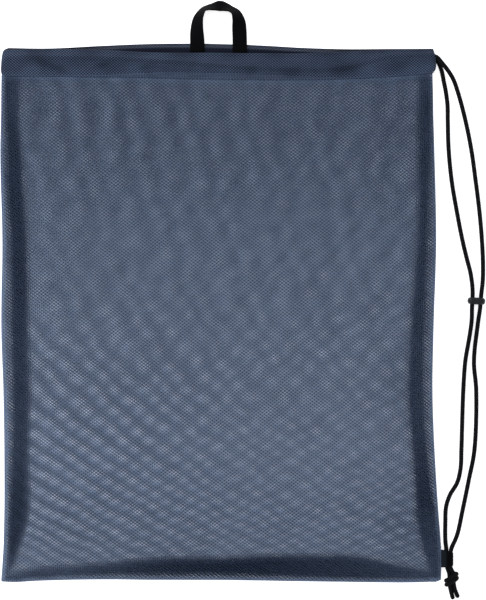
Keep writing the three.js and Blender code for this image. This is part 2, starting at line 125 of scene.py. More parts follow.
# Cord knot: below the tab both strands of the black braided drawcord, 4.5 mm thick, are tied in one overhand
# knot. It shows as two slanted turns round both strands, and their cut ends lie on the surface below.
CORD = 4.5 * MM
BRAID_PITCH = 2.7 * MM
BRAID_CARRIERS = 6
BRAID_RELIEF = 0.13 * MM
CORD_SIDES = 24
CORD_STEP = 0.7 * MM
CUT_LEAST = 0.05
LINE_PARTS = 40
TINY = 1e-12
OUTER_END = np.array([
    [258.2, -284.0, 6.3], [258.7, -287.5, 5.9], [259.0, -291.5, 5.6], [259.2, -296.0, 4.9],
    [260.9, -303.6, 2.9], [264.6, -312.6, 2.6],
])
INNER_END = np.array([
    [254.0, -284.0, 5.4], [254.5, -287.5, 5.6], [254.9, -291.5, 5.5], [254.8, -297.0, 4.8],
    [256.6, -305.4, 2.9], [258.9, -314.3, 2.6],
])
TURN_MIDDLES = np.array([[256.5, -289.3, 6.2], [256.9, -293.8, 6.0]])
TURN_REACH = 6.4
TURN_RISE = 3.5
TURN_SLANT = 24.0
TURN_FROM, TURN_TO, TURN_PLACES = -100, 640, 61
TUCK_RUN = 1.2
TUCK_LEAST = 0.5


def smooth_line(points, step):
    """The centripetal Catmull-Rom curve through the points, as places an equal step apart along it."""
    ends = [2 * points[:1] - points[1:2], points, 2 * points[-1:] - points[-2:-1]]
    p = np.concatenate(ends)
    knots = np.linalg.norm(np.diff(p, axis=0), axis=1)[:, None] ** 0.5
    before, here, after = knots[:-2], knots[1:-1], knots[2:]
    a, b, c, d = p[:-3], p[1:-2], p[2:-1], p[3:]
    leave = here * ((b - a) / before - (c - a) / (before + here) + (c - b) / here)
    arrive = here * ((c - b) / here - (d - b) / (here + after) + (d - c) / after)
    t = np.linspace(0, 1, LINE_PARTS, endpoint=False)[:, None, None]
    parts = ((2 * t**3 - 3 * t**2 + 1) * b + (t**3 - 2 * t**2 + t) * leave
             + (3 * t**2 - 2 * t**3) * c + (t**3 - t**2) * arrive)
    fine = np.concatenate([parts.transpose(1, 0, 2).reshape(-1, p.shape[1]), points[-1:]])
    run = np.concatenate([[0], np.cumsum(np.linalg.norm(np.diff(fine[:, :3], axis=0), axis=1))])
    at = np.linspace(0, run[-1], max(int(run[-1] / step), 2) + 1)
    return np.stack([np.interp(at, run, column) for column in fine.T], axis=1), at


def unit(vectors):
    """Each vector at length 1."""
    return vectors / np.maximum(np.linalg.norm(vectors, axis=-1, keepdims=True), TINY)


def make_piece(name, points, faces, corners, material, **values):
    """A mesh object from points, groups of faces of one size, and each corner's place on the cloth.

    A mesh that comes out inside out, with a negative volume, has its faces turned. The material reads the
    values by their names: one number to a point, or fewer that repeat, as over both sides of a shell.
    """
    fans = [group[:, [0, k, k + 1]] for group in faces for k in range(1, group.shape[1] - 1)]
    a, b, c = (points[np.concatenate(fans)[:, k]] for k in range(3))
    if np.einsum("ij,ij->", a, np.cross(b, c)) < 0:
        faces = [group[:, ::-1] for group in faces]
        corners = [group[:, ::-1] for group in corners]
    mesh = bpy.data.meshes.new(name)
    mesh.from_pydata(points.tolist(), [], [face for group in faces for face in group.tolist()])
    layer = mesh.uv_layers.new(name="cloth")
    layer.data.foreach_set("uv", np.concatenate([group.reshape(-1, 2) for group in corners]).ravel())
    for key, value in values.items():
        field = mesh.attributes.new(key, "FLOAT", "POINT")
        field.data.foreach_set("value", np.resize(np.asarray(value, np.float32), len(points)))
    mesh.shade_smooth()
    mesh.materials.append(material)
    piece = bpy.data.objects.new(name, mesh)
    bpy.context.scene.collection.objects.link(piece)
    return piece


def tube_parts(rings, along, around):
    """Rings of points joined in turn, each closed round, with a flat face over both ends.

    Corners carry the length along the tube and the way round its section.
    """
    count, sides = rings.shape[:2]
    i, j = np.meshgrid(np.arange(count - 1), np.arange(sides), indexing="ij")
    step = [(i, j), (i, j + 1), (i + 1, j + 1), (i + 1, j)]
    quads = np.stack([a * sides + b % sides for a, b in step], axis=-1).reshape(-1, 4)
    quad_corners = np.stack([np.stack([along[a], around[b]], -1) for a, b in step], -2).reshape(-1, 4, 2)
    ring = np.arange(sides)
    caps = np.stack([ring[::-1], ring + (count - 1) * sides])
    cap_corners = np.stack([np.stack([np.full(sides, along[0]), around[ring[::-1]]], -1),
                            np.stack([np.full(sides, along[-1]), around[ring]], -1)])
    return rings.reshape(-1, 3), [quads, caps], [quad_corners, cap_corners]


def braided_rings(line, run, upright, cut):
    """Rings round a line, at half the cord's thickness plus staggered bumps where the strands cross.

    The bumps are a cosine round the cord times a cosine along it. An end that is cut rounds off over half a
    diameter, and the others stay full where the next stretch of cord goes on.
    """
    ahead = unit(np.gradient(line, axis=0))
    side = unit(np.cross(ahead, upright))
    up = np.cross(side, ahead)
    turn = np.linspace(0, 2 * np.pi, CORD_SIDES, endpoint=False)
    bumps = np.cos(BRAID_CARRIERS * turn) * np.cos(2 * np.pi * run / BRAID_PITCH)[:, None]
    from_end = np.minimum(run if cut[0] else CORD, run[-1] - run if cut[1] else CORD)
    near_end = np.clip(np.broadcast_to(from_end, run.shape) / (CORD / 2), CUT_LEAST, 1)
    radius = (CORD / 2 + BRAID_RELIEF * (bumps + 1)) * (1 - (1 - near_end[:, None]) ** 2) ** 0.5
    return (line[:, None] + radius[..., None]
            * (np.cos(turn)[:, None] * side[:, None] + np.sin(turn)[:, None] * up[:, None]))


def braided_parts(points, upright=(0.0, 0.0, 1.0), cut=(False, False)):
    """A braided cord through the points, and the line that it follows."""
    line, run = smooth_line(points, CORD_STEP)
    rings = braided_rings(line, run, np.broadcast_to(upright, line.shape), cut)
    around = np.arange(CORD_SIDES + 1) * BRAID_CARRIERS / CORD_SIDES
    return tube_parts(rings, run / BRAID_PITCH, around), line


def joined(*several):
    """Points, faces and corners of several parts as those of one mesh."""
    starts = np.cumsum([0] + [len(points) for points, _, _ in several])
    return (np.concatenate([points for points, _, _ in several]),
            [group + start for (_, faces, _), start in zip(several, starts) for group in faces],
            [group for _, _, corners in several for group in corners])


def two_waves(tree, *paces):
    """Cosines of the place on the cloth times two paces, each in radians to a unit along and across."""
    place = add(tree, "UVMap", uv_map="cloth")
    ways = [add(tree, "VectorMath", {0: place, 1: (*pace, 0)}, operation="DOT_PRODUCT") for pace in paces]
    return {k: add(tree, "Math", {0: way}, operation="COSINE") for k, way in enumerate(ways)}


# Braided black polyester: matt, with small grey glints painted on the crowns of the strands as a painted
# highlight, each about 2 mm long.
cord_braid, tree = new_material("braided_polyester_cord")
crown = add(tree, "Math", two_waves(tree, (2 * math.pi, 0), (0, 2 * math.pi)), operation="MULTIPLY")
spot = add(tree, "TexCoord", out="Object")
spread = add(tree, "TexNoise", {"Vector": spot, "Scale": 420.0, "Detail": 2.0})
glint = add(tree, "Math", {0: crown, 1: spread}, operation="MULTIPLY")
shade = add(tree, "MapRange", {"Value": glint, "From Min": -0.2, "From Max": 0.7})
colour = add(tree, "Mix", {
    "Factor": shade, "A": linear("#020203"), "B": linear("#17191c")}, data_type="RGBA")
rough = add(tree, "MapRange", {"Value": shade, "To Min": 0.85, "To Max": 0.55})
lift = add(tree, "Bump", {"Strength": 0.5, "Distance": 0.2 * MM, "Height": crown})
braid = add(tree, "BsdfPrincipled", {
    "Base Color": colour,
    "Roughness": rough,
    "Normal": lift,
    "Specular IOR Level": 0.1,
})
add(tree, "OutputMaterial", {"Surface": braid})

# The turns: an ellipse that moves on from one middle to the next, and draws in to half its size at both ends.
turn = np.radians(np.linspace(TURN_FROM, TURN_TO, TURN_PLACES))[:, None]
slant = np.array([[math.cos(math.radians(TURN_SLANT)), math.sin(math.radians(TURN_SLANT)), 0.0]])
from_end = np.clip(np.minimum(turn - turn[0], turn[-1] - turn) / TUCK_RUN, 0, np.pi / 2)
tucked = TUCK_LEAST + (1 - TUCK_LEAST) * np.sin(from_end)
wrap = (TURN_MIDDLES[:1] + (turn - np.pi / 2) / (2 * np.pi) * (TURN_MIDDLES[1:] - TURN_MIDDLES[:1])
        + tucked * (slant * TURN_REACH * np.cos(turn) + np.array([[0, 0, TURN_RISE]]) * np.sin(turn)))
cord_knot = make_piece("cord_knot_braid", *joined(
    braided_parts(OUTER_END * MM, cut=(False, True))[0],
    braided_parts(INNER_END * MM, cut=(False, True))[0],
    braided_parts(wrap * MM, (-slant[0, 1], slant[0, 0], 0.0), cut=(True, True))[0]), cord_braid)
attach(cord_knot, "root")
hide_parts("cord_knot")


# Cord stopper: a flat slider with two holes, moulded in black plastic with rounded edges. Both strands run
# through it tightly, so that it stays where it is slid.
STOPPER_MIDDLE = (284.2, 14.3, 5.25)
STOPPER_TURN = -3.2
STOPPER_END = 5.2
STOPPER_DEPTH = 3.9
STOPPER_ROUND = 3.4
BORE = 2.65
BORE_ROUND = 0.5
BORE_ASIDE = 4.6
ROUND_PLACES, STRAIGHT_PLACES = 49, 15
RING_SHARES = np.array([[0, 0.04, 0.1, 0.18, 0.3, 0.45, 0.6, 0.75, 0.86, 0.94, 0.98, 1.0]])


def rounded_edge(away, radius):
    """How far a surface drops at that distance from its edge, by a quarter circle of the radius."""
    return radius - np.sqrt(radius**2 - (radius - np.clip(away, 0, radius)) ** 2)


def slider_half():
    """One half of the slider: rings round its bore, from the bore's edge to the outline or the middle plane.

    The outline is a half circle round the bore and straight from there to the middle. The face drops by a
    quarter circle towards the outline and the bore, whose walls join the front face to the back one.
    """
    corner = math.atan2(STOPPER_END, -BORE_ASIDE)
    turn = np.concatenate([np.linspace(-corner, corner, ROUND_PLACES),
                           np.linspace(corner, 2 * np.pi - corner, STRAIGHT_PLACES)[1:-1]])
    inner = np.minimum(STOPPER_END / np.maximum(np.abs(np.sin(turn)), TINY),
                       BORE_ASIDE / np.maximum(np.abs(np.cos(turn)), TINY))
    limit = np.where(np.cos(turn) > 0, STOPPER_END, inner)[:, None]
    radius = BORE + (limit - BORE) * RING_SHARES
    x, z = BORE_ASIDE + radius * np.cos(turn)[:, None], radius * np.sin(turn)[:, None]
    away = STOPPER_END - np.hypot(np.maximum(x - BORE_ASIDE, 0), z)
    face = STOPPER_DEPTH - rounded_edge(away, STOPPER_ROUND) - rounded_edge(radius - BORE, BORE_ROUND)
    rows, columns = x.shape
    index = np.arange(rows * columns).reshape(rows, columns)
    back, after = rows * columns, np.roll(index, -1, axis=0)
    front_face = np.stack([index[:, :-1], index[:, 1:], after[:, 1:], after[:, :-1]], -1).reshape(-1, 4)
    bore = np.stack([index[:, 0], after[:, 0], after[:, 0] + back, index[:, 0] + back], -1)
    here, there = index[:ROUND_PLACES - 1, -1], after[:ROUND_PLACES - 1, -1]
    wall = np.stack([here, here + back, there + back, there], -1)
    points = np.concatenate([np.stack([x, side * face, z], -1).reshape(-1, 3) for side in (-1, 1)])
    return points, np.concatenate([front_face, front_face[:, ::-1] + back, bore, wall])


points, faces = slider_half()
both = np.concatenate([points, points * (-1, 1, 1)])
faces = np.concatenate([faces, faces[:, ::-1] + len(points)])
_, first, same = np.unique(np.round(both, 5), axis=0, return_index=True, return_inverse=True)
faces = same.ravel()[faces]
c, sn = math.cos(math.radians(STOPPER_TURN)), math.sin(math.radians(STOPPER_TURN))
points = (both[first] @ np.array([[c, sn, 0], [-sn, c, 0], [0, 0, 1]]) + STOPPER_MIDDLE) * MM

# Moulded plastic: satin black, with the faint grain of a spark-eroded mould, about 0.4 mm.
stopper_plastic, tree = new_material("satin_moulded_plastic")
spot = add(tree, "TexCoord", out="Object")
grain = add(tree, "TexNoise", {"Vector": spot, "Scale": 2500.0, "Detail": 2.0})
haze = add(tree, "TexNoise", {"Vector": spot, "Scale": 220.0, "Detail": 2.0})
colour = add(tree, "Mix", {
    "Factor": haze, "A": linear("#050607"), "B": linear("#14161a")}, data_type="RGBA")
rough = add(tree, "MapRange", {"Value": haze, "To Min": 0.35, "To Max": 0.55})
pits = add(tree, "Bump", {"Strength": 0.3, "Distance": 0.05 * MM, "Height": grain})
plastic = add(tree, "BsdfPrincipled", {
    "Base Color": colour,
    "Roughness": rough,
    "Specular IOR Level": 0.3,
    "Normal": pits,
})
add(tree, "OutputMaterial", {"Surface": plastic})
cord_stopper = make_piece(
    "cord_stopper_moulding", points, [faces], [points[faces][..., :2]], stopper_plastic)
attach(cord_stopper, "root")
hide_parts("cord_stopper")


# Drawcord: the two free strands of the cord leave the right end of the channel, lie on the surface beside the
# bag, pass the stopper, and go through the tab to the knot.
OUTER_STRAND = np.array([
    [0.2323, 0.2834, 0.01053], [0.2360, 0.2832, 0.0104], [0.2404, 0.2816, 0.01015],
    [0.2459, 0.2756, 0.0095], [0.2521, 0.2682, 0.0082], [0.2585, 0.2585, 0.0058],
    [0.2641, 0.2440, 0.0035], [0.2724, 0.2134, 0.0026], [0.2790, 0.1804, 0.0026],
    [0.2836, 0.1474, 0.0026], [0.2877, 0.1144, 0.0026], [0.2906, 0.0814, 0.0026],
    [0.2918, 0.0540, 0.0027], [0.2914, 0.0360, 0.0033], [0.2898, 0.0230, 0.0047],
    [0.2889, 0.0143, 0.0052], [0.2883, 0.0060, 0.0048], [0.2866, -0.0066, 0.0036],
    [0.2850, -0.0200, 0.0026], [0.2828, -0.0374, 0.0026], [0.2819, -0.0560, 0.0026],
    [0.2843, -0.0836, 0.0026], [0.2824, -0.1496, 0.0026], [0.2762, -0.1826, 0.0026],
    [0.2694, -0.2156, 0.0028], [0.2630, -0.2430, 0.0052], [0.2562, -0.2590, 0.0068],
    [0.2548, -0.2690, 0.0069], [0.2557, -0.2790, 0.0067], [0.2582, -0.2840, 0.0063],
])
INNER_STRAND = np.array([
    [0.2323, 0.2826, 0.0033], [0.2358, 0.2824, 0.0033], [0.2396, 0.2804, 0.00325],
    [0.2434, 0.2752, 0.0030], [0.2465, 0.2668, 0.0027], [0.2485, 0.2565, 0.0026],
    [0.2508, 0.2450, 0.0026], [0.2527, 0.2300, 0.0026], [0.2530, 0.2134, 0.0026],
    [0.2539, 0.1820, 0.0026], [0.2572, 0.1474, 0.0026], [0.2627, 0.1144, 0.0026],
    [0.2691, 0.0814, 0.0026], [0.2737, 0.0620, 0.0026], [0.2780, 0.0450, 0.0030],
    [0.2799, 0.0300, 0.0043], [0.2801, 0.0215, 0.0049], [0.2797, 0.0143, 0.0052],
    [0.2794, 0.0065, 0.0049], [0.2792, -0.0066, 0.0037], [0.2777, -0.0200, 0.0026],
    [0.2751, -0.0350, 0.0026], [0.2723, -0.0520, 0.0026], [0.2701, -0.0836, 0.0026],
    [0.2680, -0.1496, 0.0026], [0.2671, -0.1700, 0.0026], [0.2634, -0.1856, 0.0026],
    [0.2553, -0.1995, 0.0026], [0.2511, -0.2126, 0.0026], [0.2503, -0.2294, 0.0026],
    [0.2502, -0.2486, 0.0034], [0.2513, -0.2600, 0.0038], [0.2514, -0.2690, 0.0038],
    [0.2523, -0.2790, 0.0042], [0.2540, -0.2840, 0.0054],
])
OUTER_LENGTH = 0.590
INNER_LENGTH = 0.582

for name, points, length, on_it in (
        ("drawcord_outer", OUTER_STRAND, OUTER_LENGTH, [cord_stopper, cord_knot]),
        ("drawcord_inner", INNER_STRAND, INNER_LENGTH, [])):
    parts, line = braided_parts(points)
    strand = make_piece(name + "_braid", *parts, cord_braid)
    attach(strand, "root")
    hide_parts(name)


# Back panel: one layer of navy polyester mesh that lies on the surface, sewn to the front on three sides.
# Near the mouth it rises to the stitch line of its hem.
CLOTH = 0.7
SIDE_EDGES = np.array([
    [-292, -238.7, 245.6], [-260, -236.5, 245.6], [-216, -235.4, 242.5], [-150, -235.4, 238.4],
    [-84, -236.5, 236.2], [-17, -238.7, 237.3], [81, -237.6, 240.2], [180, -239.8, 238.2],
    [262, -237.6, 235.6],
])
BOTTOM_EDGE = np.array([
    [-237.6, -294.6], [-223, -295.3], [-206, -294.2], [-174, -293.0], [-130, -292.3], [-75, -292.8],
    [0, -293.0], [90, -294.4], [156, -295.3], [200, -295.6], [222, -295.0], [232, -294.4], [235.4, -292.6],
])
MOUTH = np.array([
    [-230.4, 261.0, 290.4, 292.6, 1.2], [-190, 260.5, 290.4, 292.0, 3.6], [-130, 259.5, 289.6, 294.8, 5.6],
    [-75, 258.5, 286.6, 297.0, 6.5], [0, 257.0, 286.0, 297.0, 6.5], [50, 256.3, 285.5, 295.2, 6.5],
    [92, 256.3, 285.5, 292.8, 5.6], [135, 257.4, 287.6, 291.4, 4.2], [190, 260.4, 290.2, 291.5, 2.2],
    [240.9, 264.8, 291.4, 291.8, 0.3],
])
STITCH, FRONT_FOLD, BACK_FOLD, GAP = 1, 2, 3, 4
CHANNEL_THICK = 6.6
CHANNEL_EDGE = 2.2
BACK_CHANNEL = 31.6
MOUTH_RUN = 45.0
HEM_LAP = 1.5
PANEL_ACROSS, PANEL_UP = 170, 196
BODY_RUN = (-150, 230)
STITCH_RUN = (1, 6)
STITCH_DENSER = 1.0
BACK_HOLE, BACK_DENSER_UP, BACK_DENSER_EDGE = 0.8, 0.4, 1.2
BACK_EDGE_RUN = (1, 3)
BACK_CRISP = 0.85
BACK_PALE = 1.5


def eased(table, column, at):
    """A table's column at a place, on a cubic curve through its rows that has their mean slopes."""
    x, y = table[:, 0], table[:, column]
    slope = np.gradient(y, x)
    k = np.clip(np.searchsorted(x, at) - 1, 0, len(x) - 2)
    wide = x[k + 1] - x[k]
    t = np.clip((at - x[k]) / wide, 0, 1)
    return ((2 * t**3 - 3 * t**2 + 1) * y[k] + (t**3 - 2 * t**2 + t) * wide * slope[k]
            + (3 * t**2 - 2 * t**3) * y[k + 1] + (t**3 - t**2) * wide * slope[k + 1])


def step_up(value, low, high):
    """0 below low, 1 above high, and a smooth S between them."""
    t = np.clip((value - low) / (high - low), 0, 1)
    return t * t * (3 - 2 * t)


def ripple(x, y, waves):
    """Sum of sine waves over the cloth, each given as height, wavelength, heading in degrees and phase."""
    total = 0
    for high, long, head, phase in waves:
        ahead = x * np.cos(np.radians(head)) + y * np.sin(np.radians(head))
        total = total + high * np.sin(2 * np.pi / long * ahead + phase)
    return total


def patches(x, y, bells):
    """Sum of Gaussian bells over the cloth, each given as height, middle in X and Y, and reach in X and Y."""
    return sum(high * np.exp(-((x - across) / wide) ** 2 - ((y - up) / tall) ** 2)
               for high, across, up, wide, tall in bells)


def stitch_line(x, front):
    """Height up the bag of the hem's stitch line, on the front or on the back."""
    return eased(MOUTH, STITCH, x) if front else eased(MOUTH, BACK_FOLD, x) - BACK_CHANNEL


def from_edges(x, y):
    """Distances of a place from the three sewn edges: left, right and bottom."""
    return x - eased(SIDE_EDGES, 1, y), eased(SIDE_EDGES, 2, y) - x, y - eased(BOTTOM_EDGE, 1, x)


def panel_grid(front):
    """Places of a panel's grid: columns spread between the side edges, rows from the bottom to the hem."""
    first, last = BOTTOM_EDGE[0, 0], BOTTOM_EDGE[-1, 0]
    column = np.linspace(first, last, PANEL_ACROSS + 1)[None, :]
    up = np.linspace(0, 1, PANEL_UP + 1)[:, None]
    bottom = eased(BOTTOM_EDGE, 1, column)
    y = bottom + (stitch_line(column, front) + HEM_LAP - bottom) * up
    share = (column - first) / (last - first)
    left, right = eased(SIDE_EDGES, 1, y), eased(SIDE_EDGES, 2, y)
    return left + (right - left) * share, y


def back_height(x, y):
    """Underside of the back panel: 0, and a smooth rise to the hem's stitch line over the last 45 mm."""
    stitch = stitch_line(x, False)
    lift = CHANNEL_THICK - (CHANNEL_EDGE + CLOTH) / 2
    return lift * step_up(y, stitch - MOUTH_RUN, stitch)


def shell_parts(low, high, cloth):
    """Two layers of one grid of points, joined round the rim, each corner with its place on the cloth."""
    rows, columns = low.shape[:2]
    index = np.arange(rows * columns).reshape(rows, columns)
    under = np.stack([index[:-1, :-1], index[1:, :-1], index[1:, 1:], index[:-1, 1:]], -1).reshape(-1, 4)
    rim = np.concatenate([index[0, :-1], index[:-1, -1], index[-1, :0:-1], index[:0:-1, 0]])
    ahead = np.roll(rim, -1)
    over = rows * columns
    sides = np.stack([rim, ahead, ahead + over, rim + over], -1)
    flat = np.concatenate([cloth.reshape(-1, 2)] * 2)
    faces = [under, under[:, ::-1] + over, sides]
    return np.concatenate([low.reshape(-1, 3), high.reshape(-1, 3)]) * MM, faces, [flat[f] for f in faces]


def cloth_layer(x, y, z):
    """A layer's under and upper side, half the cloth to each side of the middle along its normal."""
    middle = np.stack([x, y, z], -1)
    normal = unit(np.cross(np.gradient(middle, axis=1), np.gradient(middle, axis=0)))
    return middle - normal * CLOTH / 2, middle + normal * CLOTH / 2


def turned(x, y, degrees, stretch=(1.0, 1.0)):
    """Place on the cloth in metres: the panel's own place, turned and stretched as the cloth was cut."""
    c, s = math.cos(math.radians(degrees)), math.sin(math.radians(degrees))
    return np.stack([(c * x - s * y) * stretch[0], (s * x + c * y) * stretch[1]], -1) * MM


# Knitted navy polyester mesh: staggered holes between dull dark threads. White ground shows through the
# holes, and makes light and dark patches where those of two layers meet and part. The real holes are 2.3 mm
# apart, which is two pixels, so they are drawn a quarter further apart to show in the render.
DRAWN_WIDER = 1.25
MESH_ACROSS = 3.67 * DRAWN_WIDER
MESH_UP = 2.86 * DRAWN_WIDER


def mesh_cloth(name, dark, light, crest=(-2.0, 0.4)):
    """Mesh material: thread where two slanted cosine waves over the cloth add up to less than the hole value.

    The point value "hole" is that limit. "Crisp" says how far the holes show one by one or, as in layers that
    lie out of step, blend to an even veil of the same cover, and "pale" how much painted light the threads'
    crests catch: painted highlight and painted shade in the colour. "Lean" is how much the falling wave
    outweighs the rising one, and 0 where a piece doesn't have it. Crest gives the wave values where a thread
    is painted darkest and lightest.
    """
    material, tree = new_material(name)
    lean, hole, crisp, pale = (add(tree, "Attribute", out="Fac", attribute_name=value)
                               for value in ("lean", "hole", "crisp", "pale"))
    across, up = 2 * math.pi / (MESH_ACROSS * MM), 2 * math.pi / (MESH_UP * MM)
    waves = two_waves(tree, (across, up), (-across, up))
    both = add(tree, "Math", waves, operation="ADD")
    differ = add(tree, "Math", waves, operation="SUBTRACT")
    weave = add(tree, "Math", {0: differ, 1: lean, 2: both}, operation="MULTIPLY_ADD")
    over = add(tree, "Math", {0: weave, 1: hole}, operation="SUBTRACT")
    thread = add(tree, "MapRange", {
        "Value": over, "From Min": 0.3, "From Max": -0.3}, interpolation_type="SMOOTHSTEP")
    veil = add(tree, "MapRange", {"Value": hole, "From Min": -0.6, "From Max": 2.1})
    cover = add(tree, "Mix", {"Factor": crisp, "A": veil, "B": thread})
    spot = add(tree, "TexCoord", out="Object")
    patch = add(tree, "TexNoise", {"Vector": spot, "Scale": 45.0, "Detail": 3.0, "Roughness": 0.5})
    patch = add(tree, "MapRange", {
        "Value": patch, "From Min": 0.25, "From Max": 0.75, "To Min": 0.42, "To Max": 0.58})
    # Painted highlight: each thread is drawn lighter towards its crest, as if lit there.
    lit = add(tree, "MapRange", {"Value": weave, "From Min": crest[0], "From Max": crest[1]})
    tint = add(tree, "Math", {0: lit, 1: patch}, operation="MULTIPLY")
    tint = add(tree, "Math", {0: tint, 1: pale}, operation="MULTIPLY", use_clamp=True)
    colour = add(tree, "Mix", {
        "Factor": tint, "A": linear(dark), "B": linear(light)}, data_type="RGBA")
    rise = add(tree, "Bump", {"Strength": 0.35, "Distance": 0.25 * MM, "Height": weave}, invert=True)
    threads = add(tree, "BsdfPrincipled", {
        "Base Color": colour,
        "Roughness": 0.75,
        "Specular IOR Level": 0.15,
        "Alpha": cover,
        "Normal": rise,
    })
    add(tree, "OutputMaterial", {"Surface": threads})
    return material


CUT_TURN = -1.5
BACK_SHRINK = 0.0072
SLIP_UNIT = 1.1
LEAN_LEFT, LEAN_LESS, LEAN_FROM, LEAN_RUN = 0.55, 0.75, -240, 480
CLOSE, CLOSE_LESS_UP = 0.24, 0.05
CLOSE_RUN = (-50, 120)
EVERYWHERE = 1e6
CLOSE_PATCHES = ((0.36, -155, -139, 135, 92), (0.18, 0, -227, EVERYWHERE, 44), (0.08, -120, 215, 110, 70))
SMOOTH_PATCHES = ((0.75, -140, -160, 150, 100), (0.5, -110, 190, 130, 90))
SPOTS, SPOTS_RUN = 0.55, (-80, 60)
MOTTLE = (
    (0.06, 27, 15, 0.3), (0.06, 21, 75, 1.9), (0.06, 33, 130, 0.8), (0.05, 17, 100, 2.7), (0.05, 19, 40, 4.0),
)
FALLING_DRIFT = ((0.18, 97, 70, 0.5), (0.12, 61, 20, 2.0), (0.1, 45, 130, 1.1))
RISING_DRIFT = ((0.18, 89, 110, 1.2), (0.12, 67, 160, 0.2), (0.1, 41, 50, 2.9))


def closeness(x, y):
    """How closely both layers lie together, so that their holes are seen one through the other.

    An even value, a little less towards the mouth, plus bells: closest at the lower left, less so along the
    bottom and at the upper left.
    """
    return CLOSE - CLOSE_LESS_UP * step_up(y, *CLOSE_RUN) + patches(x, y, CLOSE_PATCHES)


def slip(x, y):
    """How far the back's mesh has slipped against the front's, in repeats of the falling and the rising wave.

    Both are polynomials of the way across and down in units of 1.1 mm. They grow evenly across, and faster
    and faster downwards, so that the light patches where holes meet are upright streaks near the mouth and
    slanting rows of spots near the bottom. Long waves make them wander, less at the left where the cloth is
    smooth.
    """
    across, down = x / SLIP_UNIT, -y / SLIP_UNIT
    loose = 1 - patches(x, y, SMOOTH_PATCHES)
    falling = 0.036 * across - 0.006 * down - 0.000118 * np.maximum(down + 60, 0) ** 2 - 0.26
    rising = 0.038 * across + 0.0355 * down + 0.00005 * down**2 + 6e-7 * np.maximum(down - 60, 0) ** 3
    return falling + loose * ripple(x, y, FALLING_DRIFT), rising + loose * ripple(x, y, RISING_DRIFT)


def leaning(x):
    """How much the falling wave outweighs the rising one in the back: most at the left, and less evenly."""
    return LEAN_LEFT - LEAN_LESS * (x - LEAN_FROM) / LEAN_RUN


def glow(x, y):
    """Painted light on the front's threads: light that comes up through both layers, most where their holes
    meet and they lie closely together.

    It lies in rows, the cosines of both slips, and in the lower half also as spots, their product. The back's
    holes count as 0.7 percent closer together than the front's, which adds to the slip.
    """
    falling, rising = slip(x, y)
    across, up = BACK_SHRINK * x / MESH_ACROSS, BACK_SHRINK * y / MESH_UP
    falling = np.cos(2 * np.pi * (falling + across + up))
    rising = np.cos(2 * np.pi * (rising + across - up))
    rows = ((1 + leaning(x)) * falling + (1 - leaning(x)) * rising) / 2
    spots = SPOTS * (1 - step_up(y, *SPOTS_RUN)) * falling * rising
    return closeness(x, y) * (0.5 + closeness(x, y)) * (rows + spots)


x, y = panel_grid(front=False)
z = back_height(x, y) + CLOTH / 2
falling, rising = slip(x, y)
slipped = np.stack([MESH_ACROSS * (falling + rising) / 2, MESH_UP * (falling - rising) / 2], -1) * MM
cloth = turned(x, y, CUT_TURN) + slipped
away = np.min(from_edges(x, y), axis=0)
below = stitch_line(x, False) - y
hole = (BACK_HOLE + BACK_DENSER_UP * step_up(y, *BODY_RUN) + ripple(x, y, MOTTLE)
        + BACK_DENSER_EDGE * (1 - step_up(away, *BACK_EDGE_RUN))
        + STITCH_DENSER * (1 - step_up(below, *STITCH_RUN)))
# Painted light: the back's threads are the same navy mesh as the front's, drawn much paler, as if lit through
# from the white table below.
lit_mesh = mesh_cloth("polyester_mesh_painted_lit_from_below", "#6f7f9c", "#9fadc6")
back_panel = make_piece("back_panel_mesh", *shell_parts(*cloth_layer(x, y, z), cloth), lit_mesh,
                        hole=hole, crisp=BACK_CRISP * closeness(x, y), lean=leaning(x), pale=BACK_PALE)
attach(back_panel, "root")
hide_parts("back_panel")


# Side and bottom seams: inside the bag the raw edges of both panels are overlocked together and lie flat on
# the back panel. The allowance shows through the front as a darker band that sways along the edge, and the
# front's threads over it are painted darker as painted shade.
OUTER, INNER, DEPTH = 1, 2, 3
LEFT_SEAM = np.array([
    [-286.0, 6.0, 9.0, 1.0], [-277.2, 8.5, 14.0, 1.1], [-264.0, 8.5, 17.5, 1.4], [-232.1, 8.0, 26.0, 1.6],
    [-149.6, 11.8, 28.5, 1.45], [-39.6, 13.8, 32.0, 1.35], [70.4, 12.0, 30.5, 1.3], [125.4, 9.5, 28.5, 1.15],
    [169.4, 9.5, 27.0, 0.95], [213.4, 8.0, 24.0, 0.7], [261.0, 5.0, 24.0, 0.5],
])
RIGHT_SEAM = np.array([
    [-290.0, 3.0, 16.0, 0.85], [-272.0, 3.5, 20.0, 0.95], [-250.0, 4.0, 25.0, 0.95], [-226.0, 4.5, 28.0, 1.0],
    [-204.6, 6.8, 27.5, 1.35], [-149.6, 10.0, 28.0, 1.2], [-94.6, 11.6, 30.5, 1.05], [-39.6, 11.6, 29.5, 1.0],
    [15.0, 12.0, 27.5, 1.0], [103.0, 11.5, 22.5, 0.9], [180.0, 6.5, 20.0, 0.6], [259.0, 4.0, 18.0, 0.45],
])
BOTTOM_SEAM = np.array([
    [-235.0, 3.0, 10.5, 0.6], [-206.0, 4.5, 15.0, 0.75], [-174.0, 6.5, 16.5, 0.85], [-124.0, 8.2, 20.0, 1.15],
    [-75.0, 8.8, 25.0, 1.5], [-31.0, 9.0, 26.5, 1.65], [0.0, 9.0, 26.5, 1.7], [62.0, 8.2, 30.0, 1.65],
    [100.0, 7.2, 31.0, 1.5], [156.0, 6.0, 31.0, 1.35], [200.0, 6.0, 22.0, 1.0], [222.0, 5.5, 18.0, 0.85],
    [243.0, 5.0, 15.0, 0.8],
])
SEAM_THICK = 0.8
SEAM_STEP, SEAM_PLACES = 1.6, 17
SEAM_OPEN, SEAM_FROM_EDGE, SEAM_CLEAR = 7.0, 1.2, 0.15
SEAM_DENSER = (-8, 3)
SEAM_FADES = 9
SEAM_HOLE = (-1.5, 4.2)
